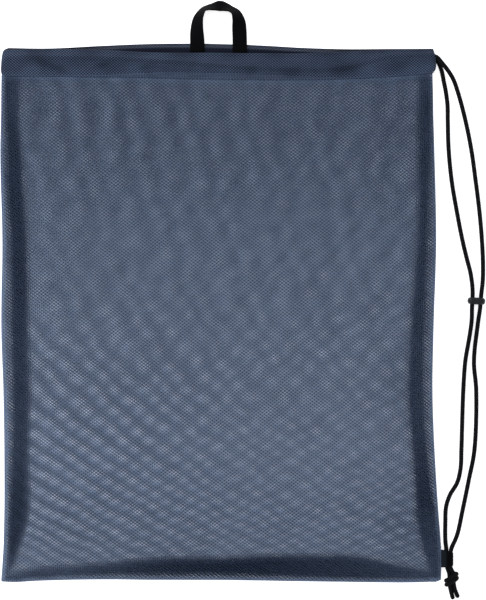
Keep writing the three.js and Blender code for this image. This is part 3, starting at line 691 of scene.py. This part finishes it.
BOTTOM_OVER_SIDES = 0.12
SEAM_WAVES = ((0.12, 37, 10, 0.3), (0.1, 23, -20, 1.9))
OVERLOCK_PITCH = 2.8
OVERLOCK_DEPTH = 4.0
OVERLOCK_THREAD, OVERLOCK_SIDES = 0.45, 5
OVERLOCK_LIFT, OVERLOCK_INSET = 0.45, 5
OVERLOCK_PLACES = 8
OVERLOCK_ENDS = (4, 1)
THREAD_TWIST = 400


def seam_strip(name, table, place, lies_on=0.0):
    """Flat strip from the seam to the allowance's inner edge, open mesh up to its outer one, and overlocking.

    The place function gives X and Y of a place along the edge and a distance inward from it, and the strip
    lies on others by that height at the corners. The overlocking is a thread that swings over the inner edge
    as a sine.
    """
    at = np.arange(table[0, 0], table[-1, 0] + 0.1, SEAM_STEP)[:, None]
    outer, inner = eased(table, OUTER, at), eased(table, INNER, at)
    start = np.maximum(outer - SEAM_OPEN, SEAM_FROM_EDGE)
    inward = start + (inner - start) * np.linspace(0, 1, SEAM_PLACES)[None]
    x, y = place(at, inward)
    foot = back_height(x, y) + CLOTH + SEAM_CLEAR + lies_on
    top = foot + SEAM_THICK + ripple(x, y, SEAM_WAVES)
    dense = (step_up(inward, outer + SEAM_DENSER[0], outer + SEAM_DENSER[1])
             * (1 - step_up(inward, inner - SEAM_FADES, inner)))
    parts = shell_parts(np.stack([x, y, foot], -1), np.stack([x, y, top], -1), turned(x, y, CUT_TURN))
    strip = make_piece(name + "_allowance", *parts, seam_cloth,
                       hole=SEAM_HOLE[0] + SEAM_HOLE[1] * dense, crisp=0.6, lean=1.0, pale=1.0)
    fine = np.arange(table[0, 0] + OVERLOCK_ENDS[0], table[-1, 0] - OVERLOCK_ENDS[1],
                     OVERLOCK_PITCH / OVERLOCK_PLACES)
    x, y = place(fine, eased(table, INNER, fine) - OVERLOCK_INSET
                 - OVERLOCK_DEPTH / 2 * (1 + np.sin(2 * np.pi * fine / OVERLOCK_PITCH)))
    line = np.stack([x, y, back_height(x, y) + CLOTH + OVERLOCK_LIFT + SEAM_THICK + lies_on], -1)
    ahead = unit(np.gradient(line, axis=0))
    aside = unit(np.cross(ahead, (0.0, 0.0, 1.0)))
    turn = np.linspace(0, 2 * np.pi, OVERLOCK_SIDES, endpoint=False)[None, :, None]
    rings = line[:, None] + OVERLOCK_THREAD * (
        np.cos(turn) * aside[:, None] + np.sin(turn) * np.cross(aside, ahead)[:, None])
    parts = tube_parts(rings * MM, fine * MM * THREAD_TWIST, np.linspace(0, 1, OVERLOCK_SIDES + 1))
    thread = make_piece(name + "_overlock", *parts, sewing_thread)
    for piece in (strip, thread):
        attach(piece, "root")
        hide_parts(name)


SEAM_DARKENS = 0.92
RIM_DARKENS = (0.36, 0.42, 0.75)
RIM_RUN = (1, 6)
OUTER_RUN = (-9, 3)
INNER_RUN = (-8, 6)


def over_seams(x, y):
    """How much an allowance under a place darkens it, as painted shade: each seam's own depth, and 0 away
    from the seams.

    The depth comes in two smooth steps, at the rim and at the allowance's outer line, and fades at its inner.
    """
    lying = []
    for table, at, inward, rim in zip(
            (LEFT_SEAM, RIGHT_SEAM, BOTTOM_SEAM), (y, y, x), from_edges(x, y), RIM_DARKENS):
        outer, inner = eased(table, OUTER, at), eased(table, INNER, at)
        ramp = (rim * step_up(inward, *RIM_RUN)
                + (SEAM_DARKENS - rim) * step_up(inward, outer + OUTER_RUN[0], outer + OUTER_RUN[1]))
        fade = 1 - step_up(inward, inner + INNER_RUN[0], inner + INNER_RUN[1])
        lying.append(eased(table, DEPTH, at) * ramp * fade)
    return np.max(lying, axis=0)


# Sewing thread: navy polyester, twisted, with a little more shine than the mesh.
sewing_thread, tree = new_material("navy_sewing_thread")
place = add(tree, "UVMap", uv_map="cloth")
twist = add(tree, "TexWave", {
    "Vector": place, "Scale": 2.5, "Distortion": 1.0}, out="Fac", bands_direction="DIAGONAL")
colour = add(tree, "Mix", {
    "Factor": twist, "A": linear("#263248"), "B": linear("#4f5d79")}, data_type="RGBA")
ply = add(tree, "Bump", {"Strength": 0.4, "Distance": 0.05 * MM, "Height": twist})
sewn = add(tree, "BsdfPrincipled", {"Base Color": colour, "Roughness": 0.5, "Normal": ply})
add(tree, "OutputMaterial", {"Surface": sewn})

# Painted shade: the allowance's threads are the same navy mesh, drawn much darker, as shade under the front
# panel.
seam_cloth = mesh_cloth("overlocked_mesh_edge_painted_shade", "#080c16", "#1c253a")
seam_strip("seam_left", LEFT_SEAM, lambda y, inward: (eased(SIDE_EDGES, 1, y) + inward, y + 0 * inward))
seam_strip("seam_right", RIGHT_SEAM, lambda y, inward: (eased(SIDE_EDGES, 2, y) - inward, y + 0 * inward))
seam_strip("seam_bottom", BOTTOM_SEAM, lambda x, inward: (x + 0 * inward, eased(BOTTOM_EDGE, 1, x) + inward),
           lies_on=BOTTOM_OVER_SIDES)


# Front panel: the same mesh, crowned over the inside of the bag and gathered in soft upright folds below its
# hem's stitch line. At the three sewn edges it turns down to the back panel.
CROWN = 13.5
CROWN_RUN = 80.0
CROWN_POWER = 2.6
FOLD_RUN = 90.0
FOLD_HEAD = 16.0
SEAM_ROOM = 1.2
CLEAR = 0.3
TAB_Y = -269.3
TAB_WIDTH = 19.4
TAB_THICK = 1.2
TAB_TAIL = 5.0
TAB_BESIDE_RUN, TAB_INWARD_RUN = (1, 9), (TAB_TAIL, 30)
# Painted shade patches on the front, as height, middle in X and Y and reach; those with negative height are
# painted light.
SHADES = ((0.45, 207, -240, 32, 45), (0.35, 197, -73, 18, 35), (-0.1, -20, -165, 200, 40),
          (-0.2, -165, -150, 80, 110))
SHADE_CLOSES_HOLES = 0.5
FRONT_HOLE, FRONT_DENSER_UP, FRONT_DENSER_EDGE = 0.5, 0.1, 0.6
FRONT_EDGE_RUN = (0.5, 2)
FRONT_CRISP, EDGE_LESS_CRISP, CRISP_RUN = 0.72, 0.22, (4, 12)
SEAM_LEAN = 0.4
PALE = 1.61
DARKER_UP = ((0.4, -170, 200), (0.38, 70, 240))
# Painted rim light: the front is drawn paler along its left, right and bottom edges, as height and reach.
RIM_LIGHTS = ((2.0, 4.5), (1.2, 3.5), (1.25, 3.5))
RIM_LIGHT_FADES, RIM_LIGHT_FADE_RUN = 0.6, (120, 250)
GLOW, GLOW_LESS_ON_SEAMS = 1.1, 0.85
STITCH_PALER, STITCH_PALE_RUN = 0.15, (1, 7)
FOLDS = (
    (-190, 150, 2.2, 12), (-150, 95, 2.8, 13), (-112, 110, 2.6, 12), (-75, 130, 2.6, 12),
    (-19, 70, 2.2, 13), (33, 150, 1.6, 13), (113, 170, 1.6, 16), (172, 140, 2.0, 15),
)


def front_height(x, y):
    """Underside of the front panel, above the back panel by its seam's thickness and a crown.

    The crown is 1 less a power of the way to the nearest seams, and it gives way to the stitch line's height
    over the last 45 mm. Folds are bells across the cloth that start at their foot and end at the stitch line.
    Over the tab's tail the cloth is lifted by both its layers.
    """
    left, right, bottom = (np.maximum(edge, 0) for edge in from_edges(x, y))
    side = np.minimum(left, right)
    inward = side * bottom / np.maximum(np.hypot(side, bottom), TINY)
    risen = 1 - (1 - np.minimum(inward / CROWN_RUN, 1)) ** CROWN_POWER
    beside = np.abs(y - TAB_Y) - TAB_WIDTH / 2
    over_tab = ((2 * TAB_THICK + CLEAR) * (1 - step_up(beside, *TAB_BESIDE_RUN))
                * (1 - step_up(right, *TAB_INWARD_RUN)))
    seam = back_height(x, y) + SEAM_ROOM + CLEAR + over_tab
    stitch = stitch_line(x, True)
    sewn = CHANNEL_THICK + eased(MOUTH, GAP, x) + (CHANNEL_EDGE - CLOTH) / 2
    blend = step_up(y, stitch - MOUTH_RUN, stitch)
    lying = (seam + CROWN * risen) * (1 - blend) + sewn * blend
    folds = sum(rise * step_up(y, foot, foot + FOLD_RUN) * np.exp(-((x - middle) / wide) ** 2)
                for middle, foot, rise, wide in FOLDS)
    return lying + folds * risen * (1 - step_up(y, stitch - FOLD_HEAD, stitch))


x, y = panel_grid(front=True)
z = front_height(x, y) + CLOTH / 2
edges = from_edges(x, y)
away = np.min(edges, axis=0)
below = stitch_line(x, True) - y
# Painted shade on the front's threads over the seam allowances.
seam_shade = over_seams(x, y)
on_seam = np.clip(seam_shade, 0, 1)
# Painted shade, and painted light where negative, in patches on the front's threads.
shaded = patches(x, y, SHADES)
# Under the painted shade the holes are closed up too, so that white dots don't break it.
hole = (FRONT_HOLE + FRONT_DENSER_UP * step_up(y, *BODY_RUN) + SHADE_CLOSES_HOLES * np.maximum(shaded, 0)
        + FRONT_DENSER_EDGE * (1 - step_up(away, *FRONT_EDGE_RUN))
        + STITCH_DENSER * (1 - step_up(below, *STITCH_RUN)))
crisp = FRONT_CRISP - EDGE_LESS_CRISP * (1 - step_up(away, *CRISP_RUN))
# Painted rim light along the three edges, where the mesh turns down and catches light from the white ground,
# less towards the mouth.
rim = sum(much * (1 - step_up(edge, RIM_RUN[0], wide)) for (much, wide), edge in zip(RIM_LIGHTS, edges))
# Pale: darker towards the mouth, less by the painted shade over the seams and in the patches, more by the
# painted rim light and the painted glow of light through both layers, and paler just below the stitch line.
pale = (PALE - sum(much * step_up(y, *run) for much, *run in DARKER_UP) - seam_shade - shaded
        + rim * (1 - RIM_LIGHT_FADES * step_up(y, *RIM_LIGHT_FADE_RUN))
        + GLOW * glow(x, y) * (1 - GLOW_LESS_ON_SEAMS * on_seam)
        + STITCH_PALER * (1 - step_up(below, *STITCH_PALE_RUN)) * np.maximum(1 - seam_shade, 0))
panel_mesh = mesh_cloth("knitted_polyester_mesh", "#1b273a", "#72849f")
parts = shell_parts(*cloth_layer(x, y, z), turned(x, y, CUT_TURN))
front_panel = make_piece("front_panel_mesh", *parts, panel_mesh,
                         hole=hole, crisp=crisp, lean=SEAM_LEAN * on_seam, pale=pale)
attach(front_panel, "root")
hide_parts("front_panel")


# Mouth channel: the panels' top edges, turned over and sewn down to a flat tube. It runs along the back,
# round the left side seam and along the front, is open at the right, and its outer wall swells over the cord.
CHANNEL_HEIGHT = 28.0
CHANNEL_ROUTE = np.array([
    [-230.4, 0.66, 0.31], [-190, 0.67, 0.36], [-130, 0.68, 0.44], [-75, 0.66, 0.52], [50, 0.4, 0.5],
    [135, 0.36, 0.6], [190, 0.73, 0.7], [232, 0.732, 0.732],
])
TURN_DROP = 0.5
LEFT_END = np.array([
    [0, -237.0], [0.05, -237.2], [0.15, -238.5], [0.3, -238.6], [0.6, -238.0], [0.8, -237.2], [0.9, -236.5],
    [0.96, -235.4], [1, -233.8],
])
RIGHT_END = np.array([
    [0, -4.4], [0.07, -3.0], [0.14, -1.9], [0.3, -1.4], [0.45, -1.7], [0.55, -2.2], [0.7, -2.9],
    [0.85, -3.7], [1, -4.6],
])
RIGHT_RUN = (224, MOUTH[-1, 0])
BACK_INSET, BACK_INSET_RUN = 5, (0.1, 0.4)
RUN_PLACES, END_PLACES, WALL_PLACES = 150, 18, 27
NEAR_FOOT = 0.012
HEM_WALL = 1.2
HEM_OFF_GROUND = 0.05
HEM_SWELL, HEM_SWELL_POWER = 2.1, 0.8
CORD_SWELL, CORD_SWELL_REACH, CORD_SWELL_RUN = 2.5, 5.5, (0, 0.25)
PUCKER_RUN = (0.02, 0.12)
FOLD_ROUND = 0.25
HEM_FINER = 1.3
HEM_HOLE = 0.8
FOLD_DENSER, FOLD_RUN_UP = 1.6, (0.93, 0.98)
# Inside the mouth the holes are closed up, more so low down, as painted shade:
INSIDE_SHADE_CLOSES, INSIDE_LOW_SHADE_CLOSES, INSIDE_LOW_RUN = 1.1, 0.7, (0.82, 0.86)
INSIDE_LIT_RUN = (0.82, 0.87)
OPEN_FROM, OPEN_TO = (-150, -110), (110, 140)
HEM_CRISP, INSIDE_CRISP = 0.8, 0.1
HEM_PALE = 1.9
FOOT_PALER, FOOT_RUN = 1.1, (0.0, 0.45)
FOLD_SHADOW, FOLD_SHADOW_RIGHT, RIGHT_SHADOW_RUN, SHADOW_RUN = 0.5, 0.4, (110, 160), (0.8, 1.0)
# Painted shade along the cord inside the channel, stronger right of the middle:
CORD_SHADE, CORD_SHADE_MORE, CORD_SHADE_MIDDLE, CORD_SHADE_WIDE = 0.25, 0.6, 107, 55
CORD_SHADE_REACH, CORD_SHADE_ENDS = 4.5, (140, 175)
CREASE_LEVEL = 0.33
FOOT_WAVES = ((0.09, 61, 0, 0.3), (0.07, 37, 0, 2.0), (0.05, 23, 0, 4.1))
# Painted light and shade of the hem's pulls, as waves of height, wavelength, heading and phase:
PULL_SHADING = ((0.2, 44, 35, 0.4), (0.18, 33, 130, 2.2), (0.14, 83, 10, 1.0))
# Painted shade in slanted creases, as depth, X at foot and head, and width:
CREASE_SHADES = ((0.75, -164, -213, 10), (0.75, -152, -96, 8), (0.5, -101, -48, 8))
PUCKERS = ((0.22, 11, 3, 0.4), (0.18, 17, -4, 2.0), (0.12, 7.5, 0, 1.0))


def channel_stations():
    """Places along the channel, from the right end of its back run round the left to that of its front run.

    Each has X and Z of the inner face, the way out from it, the heights of stitch line and fold, and the
    share of the way up where the cord lies. The left end is a half circle round the gap between both runs.
    """
    run = np.linspace(MOUTH[-1, 0], MOUTH[0, 0], RUN_PLACES)
    turn = np.linspace(0, np.pi, END_PLACES)[1:-1]
    radius = MOUTH[0, GAP] / 2
    share = turn / np.pi

    def side(x, front):
        return np.stack([
            x, CHANNEL_THICK + eased(MOUTH, GAP, x) * front, 0 * x, 0 * x + (1 if front else -1),
            stitch_line(x, front), eased(MOUTH, FRONT_FOLD if front else BACK_FOLD, x),
            eased(CHANNEL_ROUTE, 1 if front else 2, x)], -1)

    back, front = side(run, 0), side(run[::-1], 1)
    round_left = back[-1] + (front[0] - back[-1]) * share[:, None]
    round_left[:, 0] = run[-1] - radius * np.sin(turn)
    round_left[:, 1] = CHANNEL_THICK + radius - radius * np.cos(turn)
    round_left[:, 2:4] = np.stack([-np.sin(turn), -np.cos(turn)], -1)
    round_left[:, 5] -= TURN_DROP * np.sin(turn)
    return np.concatenate([back, round_left, front])


def channel_section():
    """Way up, from 0 to 1, and side, 0 for the inner and 1 for the outer wall, round the section.

    Places crowd together at the fold, and one more lies close to the foot.
    """
    up = np.insert(np.sin(np.linspace(0, np.pi / 2, WALL_PLACES - 1)), 1, NEAR_FOOT)
    return np.concatenate([up, up[-2::-1]]), np.concatenate([np.zeros(WALL_PLACES), np.ones(WALL_PLACES - 1)])


# The outer wall stands off by a sine up the section, a bell over the cord and puckers from the stitches,
# and the last quarter below the fold rounds off by a quarter circle.
stations = channel_stations()
up, outer = channel_section()
at, level = np.meshgrid(np.arange(len(stations)), up, indexing="ij")
reach, zed, out_x, out_z, stitch, fold, cord_share = stations[:, :, None].transpose(1, 0, 2)
run = np.concatenate([[0], np.cumsum(np.hypot(np.diff(stations[:, 0]), np.diff(stations[:, 1])))])
from_cord = (level - cord_share) * CHANNEL_HEIGHT
swell = (CHANNEL_EDGE + HEM_SWELL * np.sin(np.pi * np.clip(level, 0, 1)) ** HEM_SWELL_POWER
         + CORD_SWELL * np.exp(-(from_cord / CORD_SWELL_REACH) ** 2) * step_up(level, *CORD_SWELL_RUN)
         + ripple(run[:, None], level * CHANNEL_HEIGHT, PUCKERS) * step_up(level, *PUCKER_RUN))
swell = np.minimum(swell, CHANNEL_THICK - HEM_OFF_GROUND)
round_off = np.sqrt(1 - (np.maximum(level - (1 - FOLD_ROUND), 0) / FOLD_ROUND) ** 2)
thick = np.where(outer[None] > 0, HEM_WALL + (swell - HEM_WALL) * round_off, HEM_WALL * (1 - round_off))
inset = (np.interp(level, RIGHT_END[:, 0], RIGHT_END[:, 1])
         - BACK_INSET * (out_z < 0) * (1 - step_up(level, *BACK_INSET_RUN))) * step_up(reach, *RIGHT_RUN)
leftmost = MOUTH[0, 0] - MOUTH[0, GAP] / 2 - thick
inset = inset + (np.interp(level, LEFT_END[:, 0], LEFT_END[:, 1]) - leftmost) * np.abs(out_x)
rings = np.stack([
    reach + inset + thick * out_x, stitch + (fold - stitch) * level, zed + thick * out_z], -1) * MM
from_fold = np.concatenate([(1 - up) * CHANNEL_HEIGHT * np.where(outer > 0, -1, 1), [0]])
from_fold[-1] = from_fold[-2] - CHANNEL_EDGE
outer_wall = rings[:, int(np.argmin(np.abs(up - 0.5) + (outer == 0)))]
along = np.concatenate([[0], np.cumsum(np.linalg.norm(np.diff(outer_wall, axis=0), axis=1))])
parts = tube_parts(rings, along * HEM_FINER, from_fold * HEM_FINER * MM)

# Inside the mouth the back's wall is painted in shade, its holes closed up, but for a painted lit strip below
# its fold. Outside, the hem is palest at its foot, with painted shadow at the fold, painted shade along the
# cord inside it and in the creases, and painted light and shade over the pulls.
inside = (outer[None] == 0) & (out_z < 0)
open_mouth = step_up(reach, *OPEN_FROM) * (1 - step_up(reach, *OPEN_TO))
# Holes closed up towards the fold, and inside the mouth as painted shade.
tight_and_shaded = HEM_HOLE + np.where(inside, INSIDE_SHADE_CLOSES + INSIDE_LOW_SHADE_CLOSES * (1 - step_up(level, *INSIDE_LOW_RUN)),
                            FOLD_DENSER * step_up(level, *FOLD_RUN_UP))
# Painted shade on the hem along the cord inside it.
cord_shade = (np.exp(-(from_cord / CORD_SHADE_REACH) ** 2) * (1 - step_up(reach, *CORD_SHADE_ENDS))
           * (CORD_SHADE + CORD_SHADE_MORE * np.exp(-((reach - CORD_SHADE_MIDDLE) / CORD_SHADE_WIDE) ** 2)))
shadow = FOLD_SHADOW + FOLD_SHADOW_RIGHT * step_up(reach, *RIGHT_SHADOW_RUN)
wavy = level + ripple(reach, 0 * level, FOOT_WAVES)
# Painted shade in the creases.
crease_shade = sum(much * np.exp(-((reach - foot - (head - foot) * level) / wide) ** 2
                            - ((level - CREASE_LEVEL) / CREASE_LEVEL) ** 2)
              for much, foot, head, wide in CREASE_SHADES)
pale = np.where(inside, open_mouth * step_up(level, *INSIDE_LIT_RUN),
                HEM_PALE + FOOT_PALER * (1 - step_up(wavy, *FOOT_RUN)) - shadow * step_up(level, *SHADOW_RUN)
                + ripple(reach, level * CHANNEL_HEIGHT, PULL_SHADING) - cord_shade - crease_shade)
hem_mesh = mesh_cloth("turned_mesh_hem", "#0b1222", "#5b6b86", crest=(0.6, -2.0))
mouth_channel = make_piece("mouth_channel_hem", *parts, hem_mesh, hole=tight_and_shaded, pale=pale,
                           crisp=np.where(inside, INSIDE_CRISP, HEM_CRISP))
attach(mouth_channel, "root")
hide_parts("mouth_channel")


# Channel cord: the stretch of the same drawcord inside the channel, along the back, round the left side
# seam in a rising half turn, and back along the front. It shows through the hem as a dark line.
CORD_SEAT = 3.3
HALF_TURN_PLACES = 7


def channel_height(x, front):
    """Height of the cord at a place across: its share of the way from the stitch line to the fold."""
    fold = np.interp(x, MOUTH[:, 0], MOUTH[:, FRONT_FOLD if front else BACK_FOLD])
    stitch = np.interp(x, MOUTH[:, 0], MOUTH[:, STITCH]) if front else fold - BACK_CHANNEL
    return stitch + (fold - stitch) * np.interp(x, CHANNEL_ROUTE[:, 0], CHANNEL_ROUTE[:, 1 if front else 2])


places = CHANNEL_ROUTE[:, 0]
gap = np.interp(places, MOUTH[:, 0], MOUTH[:, GAP])
back_run = np.stack([places, channel_height(places, False), 0 * places + CHANNEL_THICK - CORD_SEAT], -1)
back_run = back_run[::-1]
front_run = np.stack([places, channel_height(places, True), CHANNEL_THICK + gap + CORD_SEAT], -1)
turn = np.linspace(0, np.pi, HALF_TURN_PLACES)[1:-1]
radius = MOUTH[0, GAP] / 2 + CORD_SEAT
half_turn = np.stack([
    places[0] - radius * np.sin(turn),
    back_run[-1, 1] + (front_run[0, 1] - back_run[-1, 1]) * turn / np.pi,
    CHANNEL_THICK + MOUTH[0, GAP] / 2 - radius * np.cos(turn)], -1)
parts, line = braided_parts(np.concatenate([back_run, half_turn, front_run]) * MM, (0.0, 1.0, 0.0))
channel_cord = make_piece("channel_cord_braid", *parts, cord_braid)
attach(channel_cord, "root")
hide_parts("channel_cord")


# Hem stitching: one row of navy polyester thread along the foot of the hem, front and back, with 3.2 mm
# to a stitch. It holds the turned edge down and is the lower side of the cord's channel.
STITCH_PITCH = 3.2
STITCH_LONG = 2.6
STITCH_THICK = 0.5
STITCH_ABOVE, STITCH_OUT = 1.3, 0.2
STITCH_FROM, STITCH_TO = -226, 232
STITCH_PLACES, STITCH_SIDES = 7, 6
STITCH_STANDS, STITCH_DIPS = 0.25, 1.8
STITCH_LEAST = 0.04


def stitch_row(x, y, z, side):
    """Thread of each stitch between two holes: a short six-sided tube that is a parabola from the side.

    Its thickness falls off at both ends as a root of a sixth power. Stitches are placed along a line of
    points, and the side says which way is up.
    """
    along = np.linspace(-0.5, 0.5, STITCH_PLACES)[:, None, None]
    turn = np.linspace(0, 2 * np.pi, STITCH_SIDES, endpoint=False)[None, :, None]
    thin = STITCH_THICK / 2 * np.sqrt(np.maximum(1 - (2 * along) ** 6, STITCH_LEAST))
    rings = np.concatenate([
        STITCH_LONG * along + 0 * turn,
        thin * np.cos(turn),
        side * (thin * np.sin(turn) + STITCH_STANDS - STITCH_DIPS * along**2)], -1)
    heading = np.arctan2(np.gradient(y), np.gradient(x))
    c, sn = np.cos(heading)[:, None, None], np.sin(heading)[:, None, None]
    placed = np.stack([
        x[:, None, None] + c * rings[..., 0] - sn * rings[..., 1],
        y[:, None, None] + sn * rings[..., 0] + c * rings[..., 1],
        z[:, None, None] + rings[..., 2]], -1) * MM
    _, faces, corners = tube_parts(rings, along.ravel(), np.linspace(0, 1, STITCH_SIDES + 1))
    starts = np.arange(len(x))[:, None, None] * rings.shape[0] * rings.shape[1]
    return (placed.reshape(-1, 3), [(group[None] + starts).reshape(-1, group.shape[1]) for group in faces],
            [np.tile(group, (len(x), 1, 1)) for group in corners])


x = np.arange(STITCH_FROM, STITCH_TO, STITCH_PITCH)
front_row = stitch_row(x, stitch_line(x, True) + STITCH_ABOVE,
                       CHANNEL_THICK + eased(MOUTH, GAP, x) + CHANNEL_EDGE + STITCH_OUT, 1)
back_row = stitch_row(x, stitch_line(x, False) + STITCH_ABOVE,
                      0 * x + CHANNEL_THICK - CHANNEL_EDGE - STITCH_OUT, -1)
hem_stitches = make_piece("hem_stitches", *joined(front_row, back_row), sewing_thread)
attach(hem_stitches, "root")
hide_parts("mouth_channel")


# Hang loop: one length of black webbing, 16 mm wide, sewn between the hem's two runs. Its legs lie flat on
# the back hem, its shoulders turn on edge, and the top lies half open.
WEBBING = 16.0
WEBBING_THICK = 1.5
WEAVE_PITCH = 2.4
WEAVE_RELIEF = 0.14
WEBBING_STEP, WEBBING_PLACES = 0.6, 27
WEBBING_SQUARE = 14
WEAVE_HALF = 7.6
LEAN_UNIT = 100
LOOP = np.array([
    [-22.6, 272, 7.65, 0], [-22.7, 298.4, 7.65, 4], [-23.2, 312.4, 7.7, 26], [-22.1, 323.4, 7.6, 42],
    [-20.0, 328.9, 7.7, 52], [-15.8, 334.8, 7.8, 63], [-11.0, 336.6, 7.6, 60], [-5.5, 337.6, 6.9, 52],
    [2.0, 338.8, 5.4, 36], [8.4, 337.4, 6.35, 46], [14.3, 335.0, 7.3, 57], [19.3, 331.4, 7.8, 50],
    [22.6, 323.4, 7.7, 30], [23.5, 312.4, 7.65, 6], [23.9, 298.4, 7.65, 0], [23.9, 272, 7.65, 0],
])


def webbing_section():
    """Across and up of places round a band's section: flat sides, rounded off at the edges by a power."""
    half = np.sin(np.linspace(-np.pi / 2, np.pi / 2, WEBBING_PLACES))
    up = WEBBING_THICK / 2 * (1 - np.abs(half) ** WEBBING_SQUARE) ** 0.5
    return np.concatenate([half, half[-2:0:-1]]) * WEBBING / 2, np.concatenate([up, -up[-2:0:-1]])


# The last column of the loop is its lean in degrees, made small so that it hardly counts as distance.
line, run = smooth_line(LOOP / (1, 1, 1, LEAN_UNIT), WEBBING_STEP)
heading = np.arctan2(np.gradient(line[:, 1]), np.gradient(line[:, 0]))[:, None]
lean = np.radians(line[:, 3] * LEAN_UNIT)[:, None]
across, up = webbing_section()
weave = np.cos(2 * np.pi * across / WEAVE_PITCH) * np.cos(2 * np.pi * run / WEAVE_PITCH)[:, None]
up = up + np.sign(up) * WEAVE_RELIEF * (weave - 1) * (np.abs(across) < WEAVE_HALF)
outward = across * np.cos(lean) + up * np.sin(lean)
rings = np.stack([line[:, :1] - np.sin(heading) * outward, line[:, 1:2] + np.cos(heading) * outward,
                  line[:, 2:3] + up * np.cos(lean) - across * np.sin(lean)], -1)

# Woven polypropylene webbing: black, with a faint painted sheen on the floats of its weave, 2.4 mm to a
# repeat. The point value of painted slope light greys it where the slope faces the lamp, and is 0 where a
# piece doesn't have it.
webbing, tree = new_material("black_woven_webbing")
pace = 2 * math.pi / (WEAVE_PITCH * MM)
float_up = add(tree, "Math", two_waves(tree, (pace, 0), (0, pace)), operation="MULTIPLY")
place = add(tree, "UVMap", uv_map="cloth")
fibre = add(tree, "TexNoise", {"Vector": place, "Scale": 900.0, "Detail": 2.0})
# Painted sheen: the weave's floats are drawn lighter.
gloss = add(tree, "Math", {0: float_up, 1: fibre}, operation="MULTIPLY")
shade = add(tree, "MapRange", {"Value": gloss, "From Min": -0.3, "From Max": 0.6})
colour = add(tree, "Mix", {
    "Factor": shade, "A": linear("#020203"), "B": linear("#0a0b0d")}, data_type="RGBA")
# Painted light: greyer where the point value says a slope faces the lamp.
rubbed = add(tree, "Attribute", out="Fac", attribute_name="rubbed")
colour = add(tree, "Mix", {
    "Factor": rubbed, "A": colour, "B": linear("#1b2025")}, data_type="RGBA")
rough = add(tree, "MapRange", {"Value": shade, "To Min": 0.75, "To Max": 0.5})
ribs = add(tree, "Bump", {"Strength": 0.4, "Distance": 0.15 * MM, "Height": float_up})
band = add(tree, "BsdfPrincipled", {
    "Base Color": colour,
    "Roughness": rough,
    "Specular IOR Level": 0.04,
    "Normal": ribs,
})
add(tree, "OutputMaterial", {"Surface": band})
around = np.concatenate([across, across[:1]])
hang_loop = make_piece("hang_loop_webbing", *tube_parts(rings * MM, run * MM, around * MM), webbing)
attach(hang_loop, "root")
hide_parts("hang_loop")


# Cord tab: a short length of the same webbing, folded round both strands and drawn in by them, with its
# two ends caught in the right seam. Its slope beside the seam faces the lamp and is painted a little grey,
# as painted light.
TAB_LINE = np.array([
    [240.3, 0, 2.1], [243.5, 0, 2.1], [246.5, 0, 2.0], [249.0, 0, 1.2], [251.5, 0, 0.68], [253.7, 0, 1.47],
    [257.0, 0, 4.39], [258.15, 0, 6.9], [257.3, 0, 9.12], [254.8, 0, 10.25], [252.6, 0, 9.41],
    [249.5, 0, 6.5], [248.0, 0, 4.7], [246.3, 0, 3.6], [243.5, 0, 3.3], [240.3, 0, 3.3],
])
TAB_STEP, TAB_PLACES = 0.5, 41
TAB_GATHERS, TAB_GATHER_RUN = 0.25, (247, 256)
TAB_SQUARE, TAB_WEAVE_HALF, TAB_LEAST = 16, 0.96, 0.02
TAB_LIT_SLOPE_RUN = (249.0, 252.5)

line, run = smooth_line(TAB_LINE, TAB_STEP)
half = np.sin(np.linspace(-np.pi / 2, np.pi / 2, TAB_PLACES))[None]
gathered = 1 - TAB_GATHERS * step_up(line[:, :1], *TAB_GATHER_RUN)
across = half * TAB_WIDTH / 2 * gathered
weave = np.cos(2 * np.pi * across / WEAVE_PITCH) * np.cos(2 * np.pi * run / WEAVE_PITCH)[:, None]
thick = (TAB_THICK / 2 * (1 - np.abs(half) ** TAB_SQUARE) ** 0.5
         + WEAVE_RELIEF * (weave - 1) * (np.abs(half) < TAB_WEAVE_HALF))
thick = np.maximum(thick, TAB_LEAST)
normal = unit(np.cross(unit(np.gradient(line, axis=0)), (0.0, 1.0, 0.0)))[:, None]
middle = line[:, None] + np.stack([0 * across, TAB_Y + across, 0 * across], -1)
parts = shell_parts(middle - thick[..., None] * normal, middle + thick[..., None] * normal,
                    np.stack([run[:, None] + 0 * across, across + 0 * run[:, None]], -1) * MM)
# Painted light on the slope beside the seam, which faces the lamp.
rubbed = 1 - step_up(line[:, :1] + 0 * across, *TAB_LIT_SLOPE_RUN)
cord_tab = make_piece("cord_tab_webbing", *parts, webbing, rubbed=rubbed)
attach(cord_tab, "root")
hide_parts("cord_tab")
